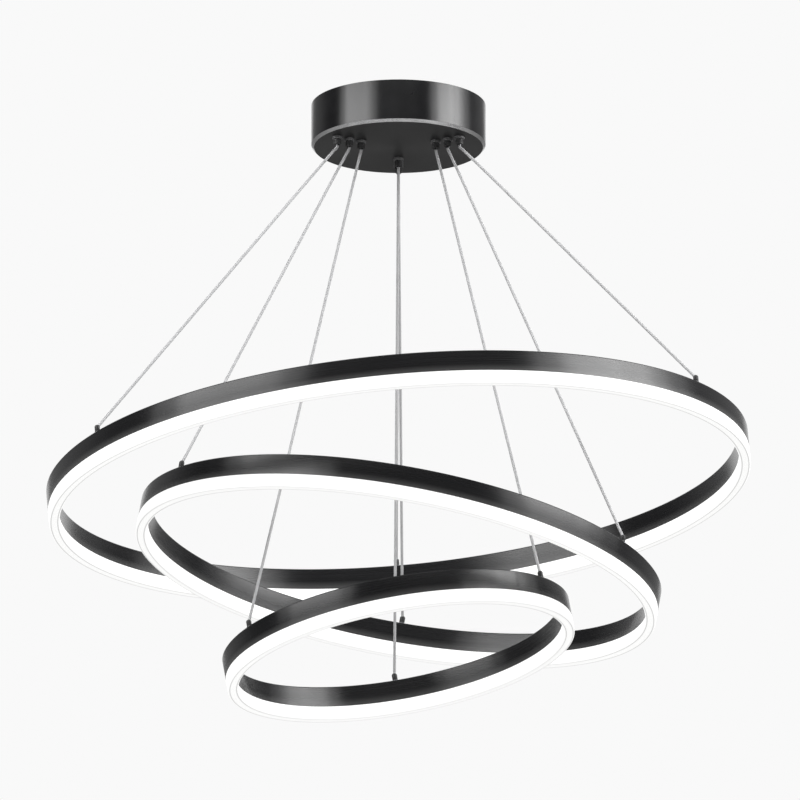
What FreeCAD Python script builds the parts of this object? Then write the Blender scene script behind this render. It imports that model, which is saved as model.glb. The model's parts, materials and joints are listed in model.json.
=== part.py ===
import FreeCAD, Part

import math
import os

# LED ring chandelier, in millimetres. Three rings of a black channel over a white diffuser hang
# at three heights, each tilted, from nine straight wires. Each wire runs up through a cable
# gripper in the floor of a round ceiling canopy, which holds the driver and the mains terminal.
#
# The origin is the centre of the ceiling face, +Z is up, +X is to the right and +Y points away
# from the viewer. The rings tilt about Y. Their wires lie at the azimuths left, right and back.

Vector = FreeCAD.Vector
UP = Vector(0, 0, 1)

# ---- wires and where they run ---------------------------------------------------------------
WIRE_RADIUS = 1.5
LEFT_AZIMUTH = 210.0
RIGHT_AZIMUTH = 330.0
BACK_AZIMUTH = 90.0
END_GAP = 0.3            # between a wire's cut end and the plunger or the terminal it meets

# ---- rings: outer radius, drop of the mid-height centre, tilt about Y, radii of its grippers ----
LARGE_RADIUS = 400.0
LARGE_DROP = 443.1
LARGE_TILT = -5.0
LARGE_GRIP_RADIUS = 80.0
LARGE_BACK_GRIP_RADIUS = 65.0
MIDDLE_RADIUS = 300.0
MIDDLE_DROP = 543.4
MIDDLE_TILT = 10.0
MIDDLE_GRIP_RADIUS = 64.5
MIDDLE_BACK_GRIP_RADIUS = 53.0
SMALL_RADIUS = 200.0
SMALL_DROP = 643.7
SMALL_TILT = -10.0
SMALL_GRIP_RADIUS = 49.0
SMALL_BACK_GRIP_RADIUS = 41.0

# ---- section of every ring, measured down from its top face --------------------------------------
RING_WIDTH = 12.0
CHANNEL_HEIGHT = 24.0
CHANNEL_WALL = 1.4
CHANNEL_WEB = 2.2
CHANNEL_BEVEL = 1.2
RACEWAY_HEIGHT = 6.2
SHELF_THICKNESS = 1.2
DIFFUSER_HEIGHT = 15.2   # the part that shows below the channel
DIFFUSER_WALL = 1.6
DIFFUSER_CORNER = 1.6
LEG_HEIGHT = 6.0
LEG_THICKNESS = 1.2
LEG_CLEARANCE = 0.1
BEAD_DROP = 4.0          # the snap bead's middle below the leg's top
BEAD_HEIGHT = 1.2
BEAD_DEPTH = 0.35
GROOVE_CLEARANCE = 0.1

# ---- light source and the joint of the rolled channel --------------------------------------------
STRIP_WIDTH = 8.0
STRIP_THICKNESS = 0.4
CHIP_LENGTH = 3.5
CHIP_WIDTH = 2.8
CHIP_HEIGHT = 0.8
CHIP_PITCH = 16.6
JOINT_AZIMUTH = 150.0
JOINT_GAP = 0.2
SPLICE_LENGTH = 44.0
SPLICE_THICKNESS = 4.0
SPLICE_CLEARANCE = 0.2
SPLICE_SCREW_SPACING = 24.0
SPLICE_SCREW_RADIUS = 1.5
SPLICE_HEAD_RADIUS = 2.4
SPLICE_HEAD_HEIGHT = 1.4
THREAD_CLEARANCE = 0.02
HOLE_CLEARANCE = 0.15

# ---- wire terminals on the rings ------------------------------------------------------------------
STUD_RADIUS = 1.5
FLANGE_RADIUS = 3.8
FLANGE_HEIGHT = 1.0
CAP_RADIUS = 3.0
SWIVEL_RADIUS = 3.1
SWIVEL_HEIGHT = 6.8      # the ball's centre above the ring's top face
NUT_WIDTH = 5.5
NUT_HEIGHT = 2.2
INSULATION_GAP = 0.4

# ---- canopy ---------------------------------------------------------------------------------------
CANOPY_RADIUS = 99.0
CANOPY_HEIGHT = 49.5
CANOPY_WALL = 1.2
CANOPY_FLOOR = 2.0
CANOPY_BEVEL = 3.0
CANOPY_FILLET = 2.5

# ---- cable gripper --------------------------------------------------------------------------------
COLLAR_RADIUS = 5.8
COLLAR_HEIGHT = 3.0
COLLAR_BEVEL = 0.4
SHANK_RADIUS = 3.5
SHANK_RISE = 5.4         # above the canopy's floor
NECK_RADIUS = 3.8
NECK_HEIGHT = 0.6
BARREL_RADIUS = 4.4
BARREL_HEIGHT = 5.9
BARREL_ROUNDING = 0.7
PLUNGER_RADIUS = 2.3
PLUNGER_RUNNING = 0.05
PLUNGER_BORE_CLEARANCE = 0.3
PLUNGER_LENGTH = 6.3
PLUNGER_PROJECTION = 1.5
PLUNGER_TRAVEL = 1.3
BALL_RADIUS = 0.7
BALL_CLEARANCE = 0.05
BALL_COUNT = 3
BALL_DROP = 1.1          # below the plunger's top
LIP_HEIGHT = 1.4
SEAT_TOP_RADIUS = 3.4
SPRING_ROOM_RADIUS = 2.5
SPRING_LENGTH = 3.2      # drawn pressed home
SPRING_WIRE_RADIUS = 0.2
SPRING_MEAN_RADIUS = 2.15
SPRING_TURNS = 3
SPRING_ARC = 60.0        # the angle of each arc of its path
WIRE_BORE_CLEARANCE = 0.2
LOCKNUT_WIDTH = 10.0
LOCKNUT_HEIGHT = 2.8
STOP_RADIUS = 2.2
STOP_LENGTH = 5.0
TAIL_ABOVE_STOP = 2.0

# ---- ceiling bracket ------------------------------------------------------------------------------
BRACKET_WIDTH = 24.0
BRACKET_THICKNESS = 2.0
BRACKET_FIT = 0.4
BRACKET_FLANGE = 16.0
TONGUE_LENGTH = 72.0
SLOT_SPACING = 140.0
SLOT_LENGTH = 20.0
SLOT_RADIUS = 2.5
MAINS_HOLE_RADIUS = 5.0
MAINS_HOLE_Y = -27.0
SET_SCREW_RADIUS = 2.0
SET_SCREW_DROP = 10.0
SET_SCREW_RECESS = 0.2
SET_SCREW_GRIP = 1.5     # beyond the flange's inner face
SOCKET_RADIUS = 1.1
SOCKET_DEPTH = 1.4

# ---- mains terminal block -------------------------------------------------------------------------
BLOCK_LENGTH = 34.0
BLOCK_WIDTH = 16.0
BLOCK_HEIGHT = 13.0
BLOCK_Y = -52.0
POLE_PITCH = 10.0
POLE_DROP = 6.0
CLAMP_SPREAD = 8.0
CLAMP_RADIUS = 1.7
CLAMP_LENGTH = 4.0
CLAMP_RECESS = 1.0
DRIVE_SLOT = 0.6         # the width and the depth of a clamp screw's slot
BLOCK_CHAMFER = 0.6

# ---- driver ---------------------------------------------------------------------------------------
CASE_LENGTH = 96.0
CASE_WIDTH = 30.0
CASE_HEIGHT = 22.0
CASE_WALL = 1.5
COVER_LIP_HEIGHT = 2.5
COVER_CLEARANCE = 0.1
LUG_LENGTH = 8.0
LUG_WIDTH = 14.0
LUG_THICKNESS = 2.0
CASE_SCREW_RADIUS = 1.5
CASE_HEAD_RADIUS = 2.8
CASE_HEAD_HEIGHT = 1.6
CASE_SCREW_RECESS = 0.2  # its end below the ceiling face
LEDGE_WIDTH = 1.5
LEDGE_HEIGHT = 2.5
BOARD_THICKNESS = 1.6
BOARD_CLEARANCE = 0.3
CORE_LENGTH = 20.0
CORE_WIDTH = 18.0
CORE_HEIGHT = 12.0
CORE_LIMB = 4.0
CORE_YOKE = 3.0
BOBBIN_RADIUS = 2.75
CAPACITOR_RADIUS = 4.0
CAPACITOR_LENGTH = 12.0
CAPACITOR_PITCH = 10.5

# ---- leads inside the canopy ----------------------------------------------------------------------
LEAD_RADIUS = 0.8
LEAD_HOLE_CLEARANCE = 0.2
LEAD_INSIDE = 3.0        # how far a lead reaches into the driver
LEAD_STRAIGHT = 8.0      # how far it leaves the block or the driver before it turns
EARTH_LEAD_OUT = 7.0
MAINS_LEAD_LEVEL = -14.0
INNER_LEAD_LEVEL = -20.0
MIDDLE_LEAD_LEVEL = -15.5
OUTER_LEAD_LEVEL = -11.0
LEAD_ENTRY_PITCH = 6.0

# ---- what the sizes above give --------------------------------------------------------------------
RINGS = {
    "large": (LARGE_RADIUS, LARGE_DROP, LARGE_TILT),
    "middle": (MIDDLE_RADIUS, MIDDLE_DROP, MIDDLE_TILT),
    "small": (SMALL_RADIUS, SMALL_DROP, SMALL_TILT),
}
GRIP_RADII = {
    "large": (LARGE_GRIP_RADIUS, LARGE_BACK_GRIP_RADIUS),
    "middle": (MIDDLE_GRIP_RADIUS, MIDDLE_BACK_GRIP_RADIUS),
    "small": (SMALL_GRIP_RADIUS, SMALL_BACK_GRIP_RADIUS),
}
SIDES = {"left": LEFT_AZIMUTH, "right": RIGHT_AZIMUTH, "back": BACK_AZIMUTH}

RING_HEIGHT = CHANNEL_HEIGHT + DIFFUSER_HEIGHT
SHELF_TOP = -CHANNEL_WEB - RACEWAY_HEIGHT
SHELF_BOTTOM = SHELF_TOP - SHELF_THICKNESS
TROUGH_WIDTH = RING_WIDTH - 2 * CHANNEL_WALL
LEG_TOP = LEG_HEIGHT - CHANNEL_HEIGHT

FLOOR_BOTTOM = -CANOPY_HEIGHT
FLOOR_TOP = FLOOR_BOTTOM + CANOPY_FLOOR
COLLAR_BOTTOM = FLOOR_BOTTOM - COLLAR_HEIGHT
BARREL_TOP = COLLAR_BOTTOM - NECK_HEIGHT
BARREL_BOTTOM = BARREL_TOP - BARREL_HEIGHT
MOUTH = BARREL_BOTTOM - PLUNGER_PROJECTION
PLUNGER_TOP = MOUTH + PLUNGER_LENGTH
BALL_LEVEL = PLUNGER_TOP - BALL_DROP
PLUNGER_BORE = WIRE_RADIUS + PLUNGER_BORE_CLEARANCE
GUIDE_RADIUS = PLUNGER_RADIUS + PLUNGER_RUNNING
SPRING_BOTTOM = PLUNGER_TOP + PLUNGER_TRAVEL + BALL_CLEARANCE
SPRING_TOP = SPRING_BOTTOM + SPRING_LENGTH
SHANK_TOP = FLOOR_TOP + SHANK_RISE
TAIL_TOP = SHANK_TOP + STOP_LENGTH + TAIL_ABOVE_STOP

CASE_TOP = -BRACKET_THICKNESS
CASE_BOTTOM = CASE_TOP - CASE_HEIGHT
BOARD_TOP = CASE_TOP - CASE_WALL - LEDGE_HEIGHT
BOARD_BOTTOM = BOARD_TOP - BOARD_THICKNESS
LUG_X = CASE_LENGTH / 2 + LUG_LENGTH / 2
FLANGE_X = math.sqrt((CANOPY_RADIUS - CANOPY_WALL) ** 2 - (BRACKET_WIDTH / 2) ** 2) - BRACKET_FIT


# ---- basic shapes ---------------------------------------------------------------------------------
def polar(radius, azimuth):
    angle = math.radians(azimuth)
    return radius * math.cos(angle), radius * math.sin(angle)


def rod(radius, low, high, x=0.0, y=0.0):
    return Part.makeCylinder(radius, high - low, Vector(x, y, low), UP)


def block(length, width, low, high, x=0.0, y=0.0):
    corner = Vector(x - length / 2, y - width / 2, low)
    return Part.makeBox(length, width, high - low, corner)


def hexagon(width, low, high):
    corner_radius = width / math.sqrt(3)
    corners = [Vector(*polar(corner_radius, 60 * i), low) for i in range(6)]
    face = Part.Face(Part.makePolygon(corners + corners[:1]))
    return face.extrude(Vector(0, 0, high - low))


def outline(corners):
    """A closed face in the XZ plane. A corner is (x, z), or (x, z, radius) where it is round."""
    starts = []
    ends = []
    edges = []
    count = len(corners)
    for i in range(count):
        here = Vector(corners[i][0], 0, corners[i][1])
        before = Vector(corners[i - 1][0], 0, corners[i - 1][1]) - here
        after = Vector(corners[(i + 1) % count][0], 0, corners[(i + 1) % count][1]) - here
        if len(corners[i]) == 2:
            starts.append(here)
            ends.append(here)
            continue
        radius = corners[i][2]
        half_angle = before.getAngle(after) / 2
        reach = radius / math.tan(half_angle)
        first = here + before.normalize() * reach
        last = here + after.normalize() * reach
        bisector = (before + after).normalize()
        middle = here + bisector * (radius / math.sin(half_angle) - radius)
        edges.append(Part.Arc(first, middle, last).toShape())
        starts.append(first)
        ends.append(last)
    for i in range(count):
        following = starts[(i + 1) % count]
        if ends[i].distanceToPoint(following) > 1e-7:
            edges.append(Part.LineSegment(ends[i], following).toShape())
    return Part.Face(Part.Wire(Part.__sortEdges__(edges)))


def lathe(corners):
    return outline(corners).revolve(Vector(0, 0, 0), UP, 360)


def drum(inner, outer, low, high):
    return lathe([(inner, low), (outer, low), (outer, high), (inner, high)])


def corner_arc(before, here, after, reach):
    """The first, middle and last points of the arc that starts and ends this far from a corner."""
    back = (before - here).normalize()
    ahead = (after - here).normalize()
    half_angle = back.getAngle(ahead) / 2
    bend = reach * math.tan(half_angle)
    middle = here + (back + ahead).normalize() * (bend / math.sin(half_angle) - bend)
    return here + back * reach, middle, here + ahead * reach


def bent_tube(radius, points):
    """A round tube along straight runs joined by tangent arcs as large as the runs allow."""
    places = [Vector(*point) for point in points]
    edges = []
    current = places[0]
    for before, here, after in zip(places, places[1:], places[2:]):
        reach = 0.45 * min((before - here).Length, (after - here).Length)
        first, middle, last = corner_arc(before, here, after, reach)
        edges.append(Part.LineSegment(current, first).toShape())
        edges.append(Part.Arc(first, middle, last).toShape())
        current = last
    edges.append(Part.LineSegment(current, places[-1]).toShape())
    path = Part.Wire(edges)
    section = Part.Wire(Part.makeCircle(radius, places[0], places[1] - places[0]))
    return path.makePipeShell([section], True, False)


def group(shapes):
    return Part.makeCompound(shapes)


def moved(shape, x=0.0, y=0.0, z=0.0):
    copy = shape.copy()
    copy.translate(Vector(x, y, z))
    return copy


def turned(shape, azimuth):
    copy = shape.copy()
    copy.rotate(Vector(0, 0, 0), UP, azimuth)
    return copy


# ---- placing the rings, their terminals and the grippers -----------------------------------------
def ring_placement(name):
    drop, tilt = RINGS[name][1:]
    centred = FreeCAD.Placement(Vector(0, 0, RING_HEIGHT / 2), FreeCAD.Rotation())
    hung = FreeCAD.Placement(Vector(0, 0, -drop), FreeCAD.Rotation(Vector(0, 1, 0), tilt))
    return hung.multiply(centred)


def hang(shape, name):
    copy = shape.copy()
    copy.transformShape(ring_placement(name).toMatrix())
    return copy


def middle_radius(name):
    return RINGS[name][0] - RING_WIDTH / 2


def swivel_centre(name, side):
    x, y = polar(middle_radius(name), SIDES[side])
    return ring_placement(name).multVec(Vector(x, y, SWIVEL_HEIGHT))


def grip_place(name, side):
    front_radius, back_radius = GRIP_RADII[name]
    return polar(back_radius if side == "back" else front_radius, SIDES[side])


def at_each_gripper(shape):
    copies = []
    for name in RINGS:
        for side in SIDES:
            copies.append(moved(shape, *grip_place(name, side)))
    return copies


def at_each_terminal(shape, name):
    x = middle_radius(name)
    return [turned(moved(shape, x), azimuth) for azimuth in SIDES.values()]


# ---- rings ----------------------------------------------------------------------------------------
def channel_section(outer):
    inner = outer - RING_WIDTH
    bevel = CHANNEL_BEVEL
    shell = outline([
        (inner, -CHANNEL_HEIGHT), (outer, -CHANNEL_HEIGHT), (outer, -bevel),
        (outer - bevel, 0), (inner + bevel, 0), (inner, -bevel)])
    left = inner + CHANNEL_WALL
    right = outer - CHANNEL_WALL
    raceway = outline([
        (left, SHELF_TOP), (right, SHELF_TOP), (right, -CHANNEL_WEB), (left, -CHANNEL_WEB)])
    trough = outline([
        (left, -CHANNEL_HEIGHT - 1), (right, -CHANNEL_HEIGHT - 1),
        (right, SHELF_BOTTOM), (left, SHELF_BOTTOM)])
    depth = BEAD_DEPTH + GROOVE_CLEARANCE
    half = BEAD_HEIGHT / 2 + GROOVE_CLEARANCE
    bead = LEG_TOP - BEAD_DROP
    groove = outline([
        (left - depth, bead - half), (right + depth, bead - half),
        (right + depth, bead + half), (left - depth, bead + half)])
    return shell.cut([raceway, trough, groove])


def joint_angle(arc_length, name):
    return math.degrees(arc_length / middle_radius(name))


def splice_angles(name):
    half = joint_angle(SPLICE_SCREW_SPACING / 2, name)
    return [JOINT_AZIMUTH - half, JOINT_AZIMUTH + half]


def channel(name):
    outer = RINGS[name][0]
    ring = channel_section(outer).revolve(Vector(0, 0, 0), UP, 360)
    x = middle_radius(name)
    kerf = block(RING_WIDTH + 2, JOINT_GAP, -CHANNEL_HEIGHT - 1, 1, x)
    cuts = [turned(kerf, JOINT_AZIMUTH)]
    web_hole = rod(STUD_RADIUS + HOLE_CLEARANCE, -CHANNEL_WEB - 1, 1)
    shelf_hole = rod(STUD_RADIUS + INSULATION_GAP, SHELF_BOTTOM - 0.5, SHELF_TOP + 0.5)
    cuts += at_each_terminal(web_hole, name)
    cuts += at_each_terminal(shelf_hole, name)
    radius = SPLICE_SCREW_RADIUS + HOLE_CLEARANCE
    screw_hole = rod(radius, SHELF_BOTTOM - 0.5, SHELF_TOP + 0.5, x)
    cuts += [turned(screw_hole, azimuth) for azimuth in splice_angles(name)]
    return ring.cut(cuts)


def diffuser(name):
    outer = RINGS[name][0]
    inner = outer - RING_WIDTH
    top = -CHANNEL_HEIGHT
    bottom = -RING_HEIGHT
    skirt = outline([
        (inner, bottom, DIFFUSER_CORNER), (outer, bottom, DIFFUSER_CORNER),
        (outer, top), (inner, top)])
    leg_inner = inner + CHANNEL_WALL + LEG_CLEARANCE
    leg_outer = outer - CHANNEL_WALL - LEG_CLEARANCE
    legs = outline([
        (leg_inner, top - DIFFUSER_WALL / 2), (leg_outer, top - DIFFUSER_WALL / 2),
        (leg_outer, LEG_TOP), (leg_inner, LEG_TOP)])
    bead = LEG_TOP - BEAD_DROP
    half = BEAD_HEIGHT / 2
    beads = outline([
        (leg_inner, bead - half), (leg_outer, bead - half),
        (leg_outer + BEAD_DEPTH, bead), (leg_outer, bead + half),
        (leg_inner, bead + half), (leg_inner - BEAD_DEPTH, bead)])
    rounding = DIFFUSER_CORNER / 2
    cavity = outline([
        (inner + DIFFUSER_WALL, bottom + DIFFUSER_WALL, rounding),
        (outer - DIFFUSER_WALL, bottom + DIFFUSER_WALL, rounding),
        (outer - DIFFUSER_WALL, top - DIFFUSER_WALL),
        (inner + DIFFUSER_WALL, top - DIFFUSER_WALL)])
    throat = outline([
        (leg_inner + LEG_THICKNESS, top - DIFFUSER_WALL - 1),
        (leg_outer - LEG_THICKNESS, top - DIFFUSER_WALL - 1),
        (leg_outer - LEG_THICKNESS, LEG_TOP + 1), (leg_inner + LEG_THICKNESS, LEG_TOP + 1)])
    section = skirt.fuse([legs, beads]).removeSplitter().cut([cavity, throat])
    return section.removeSplitter().revolve(Vector(0, 0, 0), UP, 360)


def led_strip(name):
    middle = middle_radius(name)
    margin = joint_angle(SPLICE_LENGTH / 2, name)
    half = STRIP_WIDTH / 2
    section = outline([
        (middle - half, SHELF_BOTTOM - STRIP_THICKNESS),
        (middle + half, SHELF_BOTTOM - STRIP_THICKNESS),
        (middle + half, SHELF_BOTTOM), (middle - half, SHELF_BOTTOM)])
    strip = section.revolve(Vector(0, 0, 0), UP, 360 - 2 * margin)
    return turned(strip, JOINT_AZIMUTH + margin)


def led_chips(name):
    margin = joint_angle(SPLICE_LENGTH / 2 + CHIP_LENGTH, name)
    span = 360 - 2 * margin
    count = int(math.radians(span) * middle_radius(name) / CHIP_PITCH)
    top = SHELF_BOTTOM - STRIP_THICKNESS
    chip = block(CHIP_WIDTH, CHIP_LENGTH, top - CHIP_HEIGHT, top, middle_radius(name))
    chips = []
    for i in range(count + 1):
        chips.append(turned(chip, JOINT_AZIMUTH + margin + span * i / count))
    return group(chips)


def splice_bar(name):
    middle = middle_radius(name)
    half = TROUGH_WIDTH / 2 - SPLICE_CLEARANCE
    sweep = joint_angle(SPLICE_LENGTH, name)
    section = outline([
        (middle - half, SHELF_TOP), (middle + half, SHELF_TOP),
        (middle + half, SHELF_TOP + SPLICE_THICKNESS),
        (middle - half, SHELF_TOP + SPLICE_THICKNESS)])
    bar = turned(section.revolve(Vector(0, 0, 0), UP, sweep), JOINT_AZIMUTH - sweep / 2)
    radius = SPLICE_SCREW_RADIUS + THREAD_CLEARANCE
    tapped = rod(radius, SHELF_TOP - 1, SHELF_TOP + SPLICE_THICKNESS + 1, middle)
    return bar.cut([turned(tapped, azimuth) for azimuth in splice_angles(name)])


def splice_screws(name):
    shank = rod(SPLICE_SCREW_RADIUS, SHELF_BOTTOM - 0.1, SHELF_TOP + SPLICE_THICKNESS)
    head = rod(SPLICE_HEAD_RADIUS, SHELF_BOTTOM - SPLICE_HEAD_HEIGHT, SHELF_BOTTOM)
    screw = moved(shank.fuse(head), middle_radius(name))
    return group([turned(screw, azimuth) for azimuth in splice_angles(name)])


def terminals(name):
    cap = rod(CAP_RADIUS, 0, SWIVEL_HEIGHT)
    flange = rod(FLANGE_RADIUS, 0, FLANGE_HEIGHT)
    ball = Part.makeSphere(SWIVEL_RADIUS, Vector(0, 0, SWIVEL_HEIGHT))
    stud = rod(STUD_RADIUS, SHELF_BOTTOM, FLANGE_HEIGHT / 2)
    terminal = cap.fuse([flange, ball, stud]).removeSplitter()
    return group(at_each_terminal(terminal, name))


def terminal_nuts(name):
    nut = hexagon(NUT_WIDTH, -CHANNEL_WEB - NUT_HEIGHT, -CHANNEL_WEB)
    bore = rod(STUD_RADIUS + THREAD_CLEARANCE, -CHANNEL_WEB - NUT_HEIGHT - 1, 0)
    return group(at_each_terminal(nut.cut(bore), name))


# ---- wires ----------------------------------------------------------------------------------------
def wire(name, side):
    """A straight wire from the gripper's mouth to the swivel ball on the ring's terminal."""
    x, y = grip_place(name, side)
    start = Vector(x, y, MOUTH)
    end = swivel_centre(name, side)
    along = (end - start).normalize()
    lead_in = 2 * WIRE_RADIUS
    reach = (end - start).Length - SWIVEL_RADIUS - END_GAP
    cylinder = Part.makeCylinder(WIRE_RADIUS, reach + lead_in, start - along * lead_in, along)
    top = MOUTH - END_GAP
    return cylinder.cut(block(6 * lead_in, 6 * lead_in, top, top + 6 * lead_in, x, y))


# ---- grippers -------------------------------------------------------------------------------------
def gripper_body():
    seat_low = BARREL_BOTTOM + LIP_HEIGHT
    wire_bore = WIRE_RADIUS + WIRE_BORE_CLEARANCE
    return lathe([
        (GUIDE_RADIUS, BARREL_BOTTOM), (BARREL_RADIUS, BARREL_BOTTOM, BARREL_ROUNDING),
        (BARREL_RADIUS, BARREL_TOP), (NECK_RADIUS, BARREL_TOP),
        (NECK_RADIUS, COLLAR_BOTTOM), (SHANK_RADIUS, COLLAR_BOTTOM),
        (SHANK_RADIUS, SHANK_TOP), (wire_bore, SHANK_TOP),
        (wire_bore, SPRING_TOP), (SPRING_ROOM_RADIUS, SPRING_TOP),
        (SPRING_ROOM_RADIUS, SPRING_BOTTOM), (SEAT_TOP_RADIUS, SPRING_BOTTOM),
        (SEAT_TOP_RADIUS, PLUNGER_TOP), (GUIDE_RADIUS, seat_low)])


def gripper_collar():
    bore = SHANK_RADIUS + HOLE_CLEARANCE
    bevel = COLLAR_BEVEL
    return lathe([
        (bore, COLLAR_BOTTOM), (COLLAR_RADIUS - bevel, COLLAR_BOTTOM),
        (COLLAR_RADIUS, COLLAR_BOTTOM + bevel), (COLLAR_RADIUS, FLOOR_BOTTOM),
        (bore, FLOOR_BOTTOM)])


def gripper_locknut():
    nut = hexagon(LOCKNUT_WIDTH, FLOOR_TOP, FLOOR_TOP + LOCKNUT_HEIGHT)
    bore = rod(SHANK_RADIUS + THREAD_CLEARANCE, FLOOR_TOP - 1, FLOOR_TOP + LOCKNUT_HEIGHT + 1)
    return nut.cut(bore)


def gripper_spring():
    """A coil under the shoulder above the plunger, swept along an arc for each sixth of a turn."""
    rise = (SPRING_LENGTH - 2 * SPRING_WIRE_RADIUS) / SPRING_TURNS
    low = SPRING_BOTTOM + SPRING_WIRE_RADIUS
    reach = SPRING_MEAN_RADIUS / math.cos(math.radians(SPRING_ARC / 2))
    corners = []
    for i in range(round(SPRING_TURNS * 360 / SPRING_ARC) + 2):
        angle = (i - 0.5) * SPRING_ARC
        corners.append(Vector(*polar(reach, angle), low + rise * angle / 360))
    middles = [(start + end) * 0.5 for start, end in zip(corners, corners[1:])]
    edges = []
    for i in range(1, len(corners) - 1):
        half_run = (middles[i] - corners[i]).Length
        edges.append(Part.Arc(*corner_arc(middles[i - 1], corners[i], middles[i], half_run)).toShape())
    section = Part.Wire(Part.makeCircle(SPRING_WIRE_RADIUS, middles[0], corners[1] - corners[0]))
    return Part.Wire(edges).makePipeShell([section], True, False)


def plunger():
    """The release tube with the balls that its spring wedges against the wire."""
    tube = drum(PLUNGER_BORE, PLUNGER_RADIUS, MOUTH, PLUNGER_TOP)
    pocket = Part.makeCylinder(BALL_RADIUS + BALL_CLEARANCE, 2 * PLUNGER_RADIUS,
                               Vector(0, 0, BALL_LEVEL), Vector(1, 0, 0))
    ball_place = WIRE_RADIUS + BALL_CLEARANCE + BALL_RADIUS
    ball = Part.makeSphere(BALL_RADIUS, Vector(ball_place, 0, BALL_LEVEL))
    turns = [360 / BALL_COUNT * i for i in range(BALL_COUNT)]
    tube = tube.cut([turned(pocket, azimuth) for azimuth in turns])
    return group([tube] + [turned(ball, azimuth) for azimuth in turns])


def wire_tail():
    return rod(WIRE_RADIUS, MOUTH, TAIL_TOP)


def wire_stop():
    return drum(WIRE_RADIUS + THREAD_CLEARANCE, STOP_RADIUS, SHANK_TOP, SHANK_TOP + STOP_LENGTH)


# ---- canopy and bracket ---------------------------------------------------------------------------
def set_screw_hole(radius):
    start = Vector(-CANOPY_RADIUS - 1, 0, -SET_SCREW_DROP)
    return Part.makeCylinder(radius, 2 * CANOPY_RADIUS + 2, start, Vector(1, 0, 0))


def canopy_cup():
    outer = CANOPY_RADIUS
    inner = CANOPY_RADIUS - CANOPY_WALL
    cup = lathe([
        (0, FLOOR_BOTTOM), (outer - CANOPY_BEVEL, FLOOR_BOTTOM),
        (outer, FLOOR_BOTTOM + CANOPY_BEVEL), (outer, 0), (inner, 0),
        (inner, FLOOR_TOP, CANOPY_FILLET), (0, FLOOR_TOP)])
    hole = rod(SHANK_RADIUS + HOLE_CLEARANCE, FLOOR_BOTTOM - 1, FLOOR_TOP + 1)
    cuts = at_each_gripper(hole)
    cuts.append(set_screw_hole(SET_SCREW_RADIUS + HOLE_CLEARANCE))
    return cup.cut(cuts)


def canopy_set_screws():
    outer = CANOPY_RADIUS - SET_SCREW_RECESS
    inner = FLANGE_X - BRACKET_THICKNESS - SET_SCREW_GRIP
    level = -SET_SCREW_DROP
    east = Vector(1, 0, 0)
    screw = Part.makeCylinder(SET_SCREW_RADIUS, outer - inner, Vector(inner, 0, level), east)
    socket = hexagon(SOCKET_RADIUS * math.sqrt(3), 0, SOCKET_DEPTH + 1)
    socket.rotate(Vector(0, 0, 0), Vector(0, 1, 0), 90)
    socket.translate(Vector(outer - SOCKET_DEPTH, 0, level))
    screw = screw.cut(socket)
    return group([screw, turned(screw, 180)])


def slot(x):
    run = SLOT_LENGTH - 2 * SLOT_RADIUS
    low = -BRACKET_THICKNESS - 1
    ends = [rod(SLOT_RADIUS, low, 1, x - run / 2), rod(SLOT_RADIUS, low, 1, x + run / 2)]
    return block(run, 2 * SLOT_RADIUS, low, 1, x).fuse(ends)


def ceiling_bracket():
    low = -BRACKET_THICKNESS
    strap = block(2 * FLANGE_X, BRACKET_WIDTH, low, 0)
    tongue = block(BRACKET_WIDTH, TONGUE_LENGTH, low, 0, 0, -TONGUE_LENGTH / 2)
    flange_middle = FLANGE_X - BRACKET_THICKNESS / 2
    flanges = [block(BRACKET_THICKNESS, BRACKET_WIDTH, -BRACKET_FLANGE, 0, x)
               for x in (-flange_middle, flange_middle)]
    plate = strap.fuse([tongue] + flanges).removeSplitter()
    cuts = [slot(-SLOT_SPACING / 2), slot(SLOT_SPACING / 2)]
    cuts.append(rod(MAINS_HOLE_RADIUS, low - 1, 1, 0, MAINS_HOLE_Y))
    cuts.append(set_screw_hole(SET_SCREW_RADIUS + THREAD_CLEARANCE))
    for x in (-LUG_X, LUG_X):
        cuts.append(rod(CASE_SCREW_RADIUS + THREAD_CLEARANCE, low - 1, 1, x))
    return plate.cut(cuts)


# ---- mains terminal block -------------------------------------------------------------------------
def clamp_places():
    places = []
    for pole in (-1, 0, 1):
        for y in (BLOCK_Y - CLAMP_SPREAD / 2, BLOCK_Y + CLAMP_SPREAD / 2):
            places.append((pole * POLE_PITCH, y))
    return places


def terminal_block():
    top = -BRACKET_THICKNESS
    bottom = top - BLOCK_HEIGHT
    body = block(BLOCK_LENGTH, BLOCK_WIDTH, bottom, top, 0, BLOCK_Y)
    lower_edges = [edge for edge in body.Edges if edge.BoundBox.ZMax < bottom + 0.1]
    body = body.makeChamfer(BLOCK_CHAMFER, lower_edges)
    cuts = []
    for x, y in clamp_places():
        cuts.append(rod(CLAMP_RADIUS + THREAD_CLEARANCE, bottom - 1, top - POLE_DROP, x, y))
    for pole in (-1, 0, 1):
        start = Vector(pole * POLE_PITCH, BLOCK_Y - BLOCK_WIDTH, top - POLE_DROP)
        cuts.append(Part.makeCylinder(LEAD_RADIUS + LEAD_HOLE_CLEARANCE, 2 * BLOCK_WIDTH,
                                      start, Vector(0, 1, 0)))
    return body.cut(cuts)


def terminal_block_screws():
    bottom = -BRACKET_THICKNESS - BLOCK_HEIGHT + CLAMP_RECESS
    screw = rod(CLAMP_RADIUS, bottom, bottom + CLAMP_LENGTH)
    drive = block(3 * CLAMP_RADIUS, DRIVE_SLOT, bottom - 1, bottom + DRIVE_SLOT)
    return group([moved(screw.cut(drive), x, y) for x, y in clamp_places()])


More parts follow.
